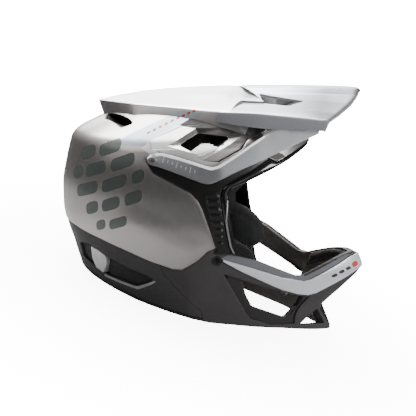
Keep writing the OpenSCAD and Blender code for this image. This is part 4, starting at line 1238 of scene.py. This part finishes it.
for a, b in zip(top_line, low_line):
    high = np.linalg.norm(a - b)
    down = (b - a) / high
    e = min(2.6, high * 0.24)
    c = min(1.0, high * 0.12)
    arm_rows.append([a + (0, 1.9, 0), a + down * e, b - down * c * 1.2, b + (0, c, 0), b + (0, ARM_THICK, 0),
                     a + (0, ARM_THICK, 0)])
bore = prism(circle(PIVOT, 3.25, 24), 1, -130, -60)
arm_solid = carve(loft(arm_rows), [bore])
slope_a = [Vector(r[0]) for r in arm_rows]
slope_b = [Vector(r[1]) for r in arm_rows]
slope_mid = kdtree.KDTree(len(slope_a) * 12)
for i in range(len(slope_a) - 1):
    for j in range(12):
        p = slope_a[i].lerp(slope_a[i + 1], j / 12)
        q = slope_b[i].lerp(slope_b[i + 1], j / 12)
        slope_mid.insert((p + q) / 2, i)
slope_mid.balance()


def arm_index(v, faces):
    """For each face 1 on the slope along the upper edge, which takes the painted highlight, else 0."""
    out = []
    for f in faces:
        pts = [Vector(v[k]) for k in f]
        near, k, dist = slope_mid.find(sum(pts, Vector()) / len(pts))
        width = (slope_a[k] - slope_b[k]).length
        n = face_normal(pts)
        out.append(1 if dist < width * 0.6 and n.z > 0.12 and n.y < 0.3 and len(f) <= 5 else 0)
    return out


for arm in pair("visor_arm_*", arm_solid, [ARM, ARM_EDGE_HIGHLIGHT], "visor_unit", "arm_grey", "visor_arm_*",
                arm_index(*arm_solid)):
    soften(arm, 0.3, 40)


# Bolts

def turned(profile, centre, sides, socket, depth):
    """A turned piece about an axis along Y by its (y, radius), with a hexagon socket in its first end."""
    body = loft([[(a, y, c) for a, c in circle(centre, r, sides)] for y, r in profile])
    y0 = profile[0][0]
    return carve(body, [prism(circle(centre, socket, 6), 1, y0 - 1, y0 + depth)])


def strap_y(z):
    """Half width inside the liner at the strap, with a little air."""
    return float(surf_y(STRAP_FRONT, z, LINER_IN)) - STRAP_AIR


STRAP_REAR, STRAP_FRONT, WEB_THICK, STRAP_AIR = 10.4, 30.4, 1.6, 0.4
BOLT_SEAT = 2.5
py = float(surf_y(*PIVOT)) + ARM_OFF
BOLT = [(3.1, 2.9), (3.0, 3.7), (2.3, 4.3), (1.5, 4.3), (1.49, 3.0), (-10.8, 3.0), (-10.81, 5.5), (-13, 5.5)]
bolt = turned([(-(py + out), r) for out, r in BOLT], PIVOT, 36, 1.7, 1.1)
pair("pivot_bolt_*", bolt, [ARM], "helmet", "bolt_steel", "pivot_bolt_*")
# A row of plain ticks on each arm, long and short in turn
proud = (arm_solid[0] - np.array([0, 0.15, 0]), arm_solid[1])
for i in range(8):
    tick = bar(-33 + 4.6 * i, 74.6 - 1.55 * i, 3.0 if i % 3 else 6.0, 0.9, 1.35)
    mark = carve(proud, keep=[prism(tick, 1, -130, -60)])
    pair("arm_tick_%d_*" % i, mark, [TICK], "visor_unit", "arm_grey", "visor_arm_*")
cy = float(surf_y(*CHEEK, BOLT_SEAT))
HEAD = [(2.25, 2.6), (2.05, 3.2), (1.5, 3.5), (0.05, 3.5), (0.04, 2.1)]
foot = (WEB_THICK - strap_y(CHEEK[1]), 2.1)
bolt = turned([(-(cy + out), r) for out, r in HEAD] + [foot], CHEEK, 30, 1.5, 1.2)
pair("cheek_bolt_*", bolt, [METAL], "helmet", "bolt_steel", "cheek_bolt_*")


# Pads: closed cushions, full in the middle and drawn in at a stitched rim

def fill2d(poly, h):
    """Triangles over a flat outline."""
    p = dense(poly, h * 0.6)
    pts = [tuple(q) for q in p]
    segs = [(i, (i + 1) % len(p)) for i in range(len(p))]
    tree = tree_of(pts)
    lo, hi = p.min(0), p.max(0)
    row = 0
    b = lo[1] + h / 2
    while b < hi[1]:
        a = lo[0] + (h / 2 if row % 2 else 0)
        while a < hi[0]:
            if tree.find((a, b, 0))[2] > h * 0.5 and in_poly(np.array([a]), np.array([b]), p)[0]:
                pts.append((a, b))
            a += h
        b += h * 0.87
        row += 1
    res = delaunay_2d_cdt([Vector(q) for q in pts], segs, [], 0, 1e-5)
    q = np.array([v[:] for v in res[0]])
    tri = np.array([f for f in res[2] if len(f) == 3])
    mid = q[tri].mean(1)
    return q, tri[in_poly(mid[:, 0], mid[:, 1], p)]


def rim_distance(q, tri):
    edges = border(tri)
    best = np.full(len(q), 1e9)
    for a, b in edges:
        d = q[b] - q[a]
        f = np.clip(((q - q[a]) @ d) / max(d @ d, 1e-12), 0, 1)
        best = np.minimum(best, np.linalg.norm(q - q[a] - f[:, None] * d, axis=1))
    return best


# Thickness of a pad at its rim as a share of the full one, and depth as a share and width of the seam along it
RIM_SHARE, SEAM_DEEP, SEAM_WIDE = 0.30, 0.16, 0.9


def cushion(names, q, tri, outer, inner, thick, reach, seam, quilt=None, knit=PAD):
    """A closed pad over the flat triangles, with its mirrored twin where there are two names.
    outer(q) gives the back face and inner(q, depth) the face at a depth."""
    dist = rim_distance(q, tri)
    f = np.clip(dist / reach, 0, 1)
    crown = RIM_SHARE + (1 - RIM_SHARE) * np.sqrt(np.maximum(0, 1 - (1 - f) ** 2))
    crown = crown - SEAM_DEEP * np.exp(-((dist - seam) / SEAM_WIDE) ** 2)
    if quilt is not None:
        crown = crown - quilt(q) * step(seam + 1, seam + 5, dist)
    a = outer(q)
    b = inner(q, np.maximum(crown, 0.12) * thick)
    n = len(q)
    half = 0.5 * (a + b)
    edges = border(tri)
    rim_v = sorted({k for e in edges for k in e})
    where = {k: i for i, k in enumerate(rim_v)}
    verts = np.concatenate([a, b, half[rim_v] + unit(half[rim_v] - half.mean(0)) * 0.5])
    faces = [tuple(int(k) for k in t) for t in tri] + [tuple(int(k) + n for k in t[::-1]) for t in tri]
    for p, r in edges:
        i, j = 2 * n + where[p], 2 * n + where[r]
        faces += [(r, p, i, j), (j, i, p + n, r + n)]
    solid = (verts, faces)
    for name, (v, fc) in zip(names, (solid, mirrored(solid))):
        ob = new_object(name, v, fc, [knit], "helmet", "pad_fabric", name, angle=75)


def tv_pad(name, outline, d0, thick, h, reach, quilt=None, seam=4.5, knit=PAD):
    """A pad that crosses the middle line, drawn in angle times RS and place."""
    q, tri = fill2d(outline, h)

    def face(p, depth=0.0):
        return at(p[:, 0] / RS, p[:, 1], d0 + depth)
    cushion([name], q, tri, face, face, thick, reach, seam, quilt, knit)


PAD_OUT, PAD_THICK = 24.0, 7.0


def pad_edge(p, mid_v):
    """A side-view line laid on the form, in angle times RS and place, and run to the middle line at mid_v."""
    t, v = to_tv(p[:, 0], p[:, 1])
    line = np.stack([t * RS, v], 1)
    return np.vstack([line[~np.isnan(t)], [0, mid_v]])


def lined(p):
    return dense(rounded(p, 4, 3, closed=False), 3, closed=False)


def mirror_outline(low_tv, high_tv):
    """Closed outline across the middle from a lower and an upper line that both end on it."""
    m = np.array([-1, 1])
    return np.vstack([low_tv, (low_tv[:-1] * m)[::-1], high_tv[1:] * m, high_tv[::-1][:-1]])


def groove(place, pitch, width):
    """1 along stitched lines a pitch apart, fading to 0 within a width."""
    return np.exp(-((np.abs(place) % pitch - pitch / 2) / width) ** 2)


brow_low = pad_edge(lined([(16, 34), (20, 26), (40, 30), (58, 44), (84, 56), (95, 62)]), 62.0)
brow_high = pad_edge(lined([(16, 34), (30, 66), (60, 78), (84, 84)]), 86.0)
tv_pad("brow_pad", mirror_outline(brow_low, brow_high), PAD_OUT, PAD_THICK, 3.0, 9.0,
       lambda p: 0.10 * groove(p[:, 0], 34, 1.6))
# Half length of the nape pad from the middle line at the back, in the same flat drawing
NAPE = -BEHIND - math.radians(128) * RS
nape = np.array([(BEHIND - NAPE, 4), (BEHIND, -7), (BEHIND + NAPE, 4), (BEHIND + NAPE + 4, 34), (BEHIND, 42),
                 (BEHIND - NAPE - 4, 34)])
tv_pad("nape_pad", rounded(nape, 8, 4), PAD_OUT, PAD_THICK, 3.4, 10.0,
       lambda p: 0.12 * groove(p[:, 0] - BEHIND, 30, 1.6))


def dome_y(x, y, d):
    """Height of the dome drawn in by d over a plan point."""
    k = np.clip(ring_share(x, y, d)[0], 0, 1.15)
    return TOP - d - (TOP - d - CREASE) * k ** FULL


CROWN_MID = [(-86, -13), (-80, -17), (58, -17), (64, -10), (64, 10), (58, 17), (-80, 17), (-86, 13)]
crown_polys = [rounded(CROWN_MID, 5, 4),
               rounded([(-74, -24), (48, -24), (40, -44), (10, -54), (-40, -52), (-70, -40)], 7, 4),
               rounded([(-74, 24), (-70, 40), (-40, 52), (10, 54), (40, 44), (48, 24)], 7, 4)]
qs, tris, off = [], [], 0
for poly in crown_polys:
    q, tri = fill2d(poly, 3.4)
    qs.append(q)
    tris.append(tri + off)
    off += len(q)


def crown_at(q, depth=0.0):
    return np.stack([q[:, 0], q[:, 1], dome_y(q[:, 0], q[:, 1], PAD_OUT + depth)], -1)


cushion(["crown_pad"], np.concatenate(qs), np.concatenate(tris), crown_at, crown_at, PAD_THICK, 8.0, 3.6,
        lambda q: 0.12 * groove(q[:, 0] + 10, 26, 1.5))
chin_low = pad_edge(dense([(119, -73), (147, -62), (163, -59)], 4, False), -58.5)
chin_high = pad_edge(dense([(119, -60.5), (147, -49), (158, -47)], 4, False), -46.5)
tv_pad("chin_pad", mirror_outline(chin_low, chin_high), 11.4, 6.4, 2.4, 5.0, None, 2.6, CHIN_KNIT_PAINTED_LIGHT)

# Cheek pads: x, lower and upper z, thickness
CHEEK_ST = np.array([(-34, -28, -12, 4), (-28, -44, -6, 12), (-12, -56, -4, 17), (8, -62, -6, 20),
                     (24, -64, -12, 20), (38, -62, -17, 17), (50, -58, -25, 12), (57, -52, -34, 5)], float)
cheek_poly = rounded([(s[0], s[1]) for s in CHEEK_ST] + [(s[0], s[2]) for s in CHEEK_ST[::-1]], 6, 3)
q, tri = fill2d(cheek_poly, 3.0)


# Air behind the pads, and the room for the strap behind them: half width, top, depth
PAD_AIR, ROOM_HALF, ROOM_TOP, ROOM_DEEP = 0.5, 11.5, -17, 2.4


def cheek_side(q, y):
    return np.stack([q[:, 0], -y, q[:, 1]], -1)


def cheek_y(q):
    return surf_y(q[:, 0], q[:, 1], LINER_IN) - PAD_AIR


def cheek_out(q):
    room = (np.abs(q[:, 0] - CHEEK[0]) < ROOM_HALF) & (q[:, 1] < ROOM_TOP)
    return cheek_side(q, cheek_y(q) - np.where(room, ROOM_DEEP, 0))


def cheek_in(q, depth):
    y = surf_y(q[:, 0], np.full(len(q), -40.0), LINER_IN)
    return cheek_side(q, np.minimum(y, cheek_y(q)) - depth)


cushion(["cheek_pad_right", "cheek_pad_left"], q, tri, cheek_out, cheek_in,
        np.maximum(smooth(CHEEK_ST[:, 0], CHEEK_ST[:, 3], q[:, 0]), 4.5), 20.0, 6.0,
        lambda q: 0.10 * np.exp(-((q[:, 1] + 28 - 0.3 * q[:, 0]) / 1.3) ** 2))


# Chin strap webbing with stitched ends

def webbing(name, path, thick_dir):
    """A band of webbing with thick selvedges along outline points in y and z, thick to one side of them."""
    p = dense(rounded(path, 6, 4, closed=False), 2.0, closed=False)
    d = np.gradient(p, axis=0)
    d /= np.linalg.norm(d, axis=1)[:, None]
    nrm = np.stack([-d[:, 1], d[:, 0]], 1) * thick_dir
    share = np.array([0, 0.25, 0.9, 1.4, 2.4, 6, 10, 14, 17.6, 18.6, 19.1, 19.75, 20]) / 20
    swell = np.array([0.35, 0.1, 0.0, 0.12, 0.22, 0.2, 0.2, 0.2, 0.22, 0.12, 0.0, 0.1, 0.35])
    xs = STRAP_REAR + (STRAP_FRONT - STRAP_REAR) * share
    rows = []
    for c, n in zip(p, nrm):
        a, b = [[(x, c[0] + n[0] * s, c[1] + n[1] * s) for x, s in zip(xs, deep)]
                for deep in (swell, WEB_THICK - swell)]
        rows.append(a + b[::-1])
    new_object(name, *loft(rows), [WEB], "helmet", "webbing", name, angle=50)


STRAP_ZS = [-22, -32, -46, -58, -66]
right_path = [(-strap_y(z), z) for z in STRAP_ZS]
right_path += [(-65, -73), (-52, -78.4), (-38, -82), (-30, -83.4), (-26, -83.8), (-16.2, -83.8)]
left_path = [(strap_y(z), z) for z in STRAP_ZS]
left_path += [(65, -72.5), (54, -77), (44, -80.4), (34, -82.2), (18, -82.4)]
webbing("strap_right", right_path, 1)
webbing("strap_left", left_path, -1)


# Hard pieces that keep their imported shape

PACKED = [("visor_bridge", BLACK, 0.7), ("buckle_housing", BLACK, 0.5), ("buckle_blade", STEEL, 0.25),
          ("buckle_lever", LEVER, 0.5)]
for name, mat, width in PACKED:
    ob = frame["nodes"][name]
    ob.data.materials.clear()
    ob.data.materials.append(mat)
    soften(ob, width, 30)


# Floor, backdrop light and lamps

def seen_or_not(nt, unseen, seen):
    """One shader for what the camera sees directly, another for the light that falls on the object."""
    direct = node(nt, "LightPath", {}, "Is Camera Ray")
    return node(nt, "MixShader", {"Fac": direct, 1: unseen, 2: seen})


BACKDROP = 24.0
FLOOR_WHITE, nt, gloss, place = nodes_of("floor_white")
away = node(nt, "VectorMath", {0: place}, "Value", operation="LENGTH")
glow = node(nt, "Emission", {"Color": (1, 1, 1, 1), "Strength": BACKDROP})
wire(nt, gloss, {"Base Color": (0.97, 0.97, 0.97, 1), "Roughness": 0.6})
seen = node(nt, "MixShader", {"Fac": spread(nt, away, 0.35, 1.0, 0.10, 0.7), 1: gloss.outputs[0], 2: glow})
dull = node(nt, "BsdfDiffuse", {"Color": spread(nt, away, 0.48, 0.02, 0.12, 0.42)})
wire(nt, nt.nodes["Material Output"], {"Surface": seen_or_not(nt, dull, seen)})
FLOOR_R, FLOOR_SIDES = 3, 64
disc = [(x, y, 0) for x, y in circle((0, 0), FLOOR_R, FLOOR_SIDES)]
floor, floor_mesh = mesh_object("floor", disc, [range(FLOOR_SIDES)])
floor_mesh.materials.append(FLOOR_WHITE)

world = bpy.data.worlds.new("studio")
bpy.context.scene.world = world
world.use_nodes = True
nt = world.node_tree
dim = nt.nodes["Background"]
wire(nt, dim, {"Color": (1, 1, 1, 1), "Strength": 0.1})
bright = node(nt, "Background", {"Color": (1, 1, 1, 1), "Strength": BACKDROP})
wire(nt, nt.nodes["World Output"], {"Surface": seen_or_not(nt, dim.outputs[0], bright)})
area("top_light", (-0.66, 0.45, 1.25), (-0.05, 0, 0.12), (0.8, 1.4), 72.0)
area("back_light", (-0.5, 1.5, 0.75), (-0.1, 0, 0.2), (0.9, 1.3), 28.0)
area("rear_light", (-1.2, -0.75, 0.8), (0, 0, 0.15), (0.5, 0.9), 4.0)
area("front_light", (1.4, -0.6, 0.75), (0.05, 0, 0.1), (0.6, 0.6), 24.0)
area("side_light", (0.8, -1.4, 0.5), (0.05, 0, 0.1), (0.7, 0.7), 2.0)
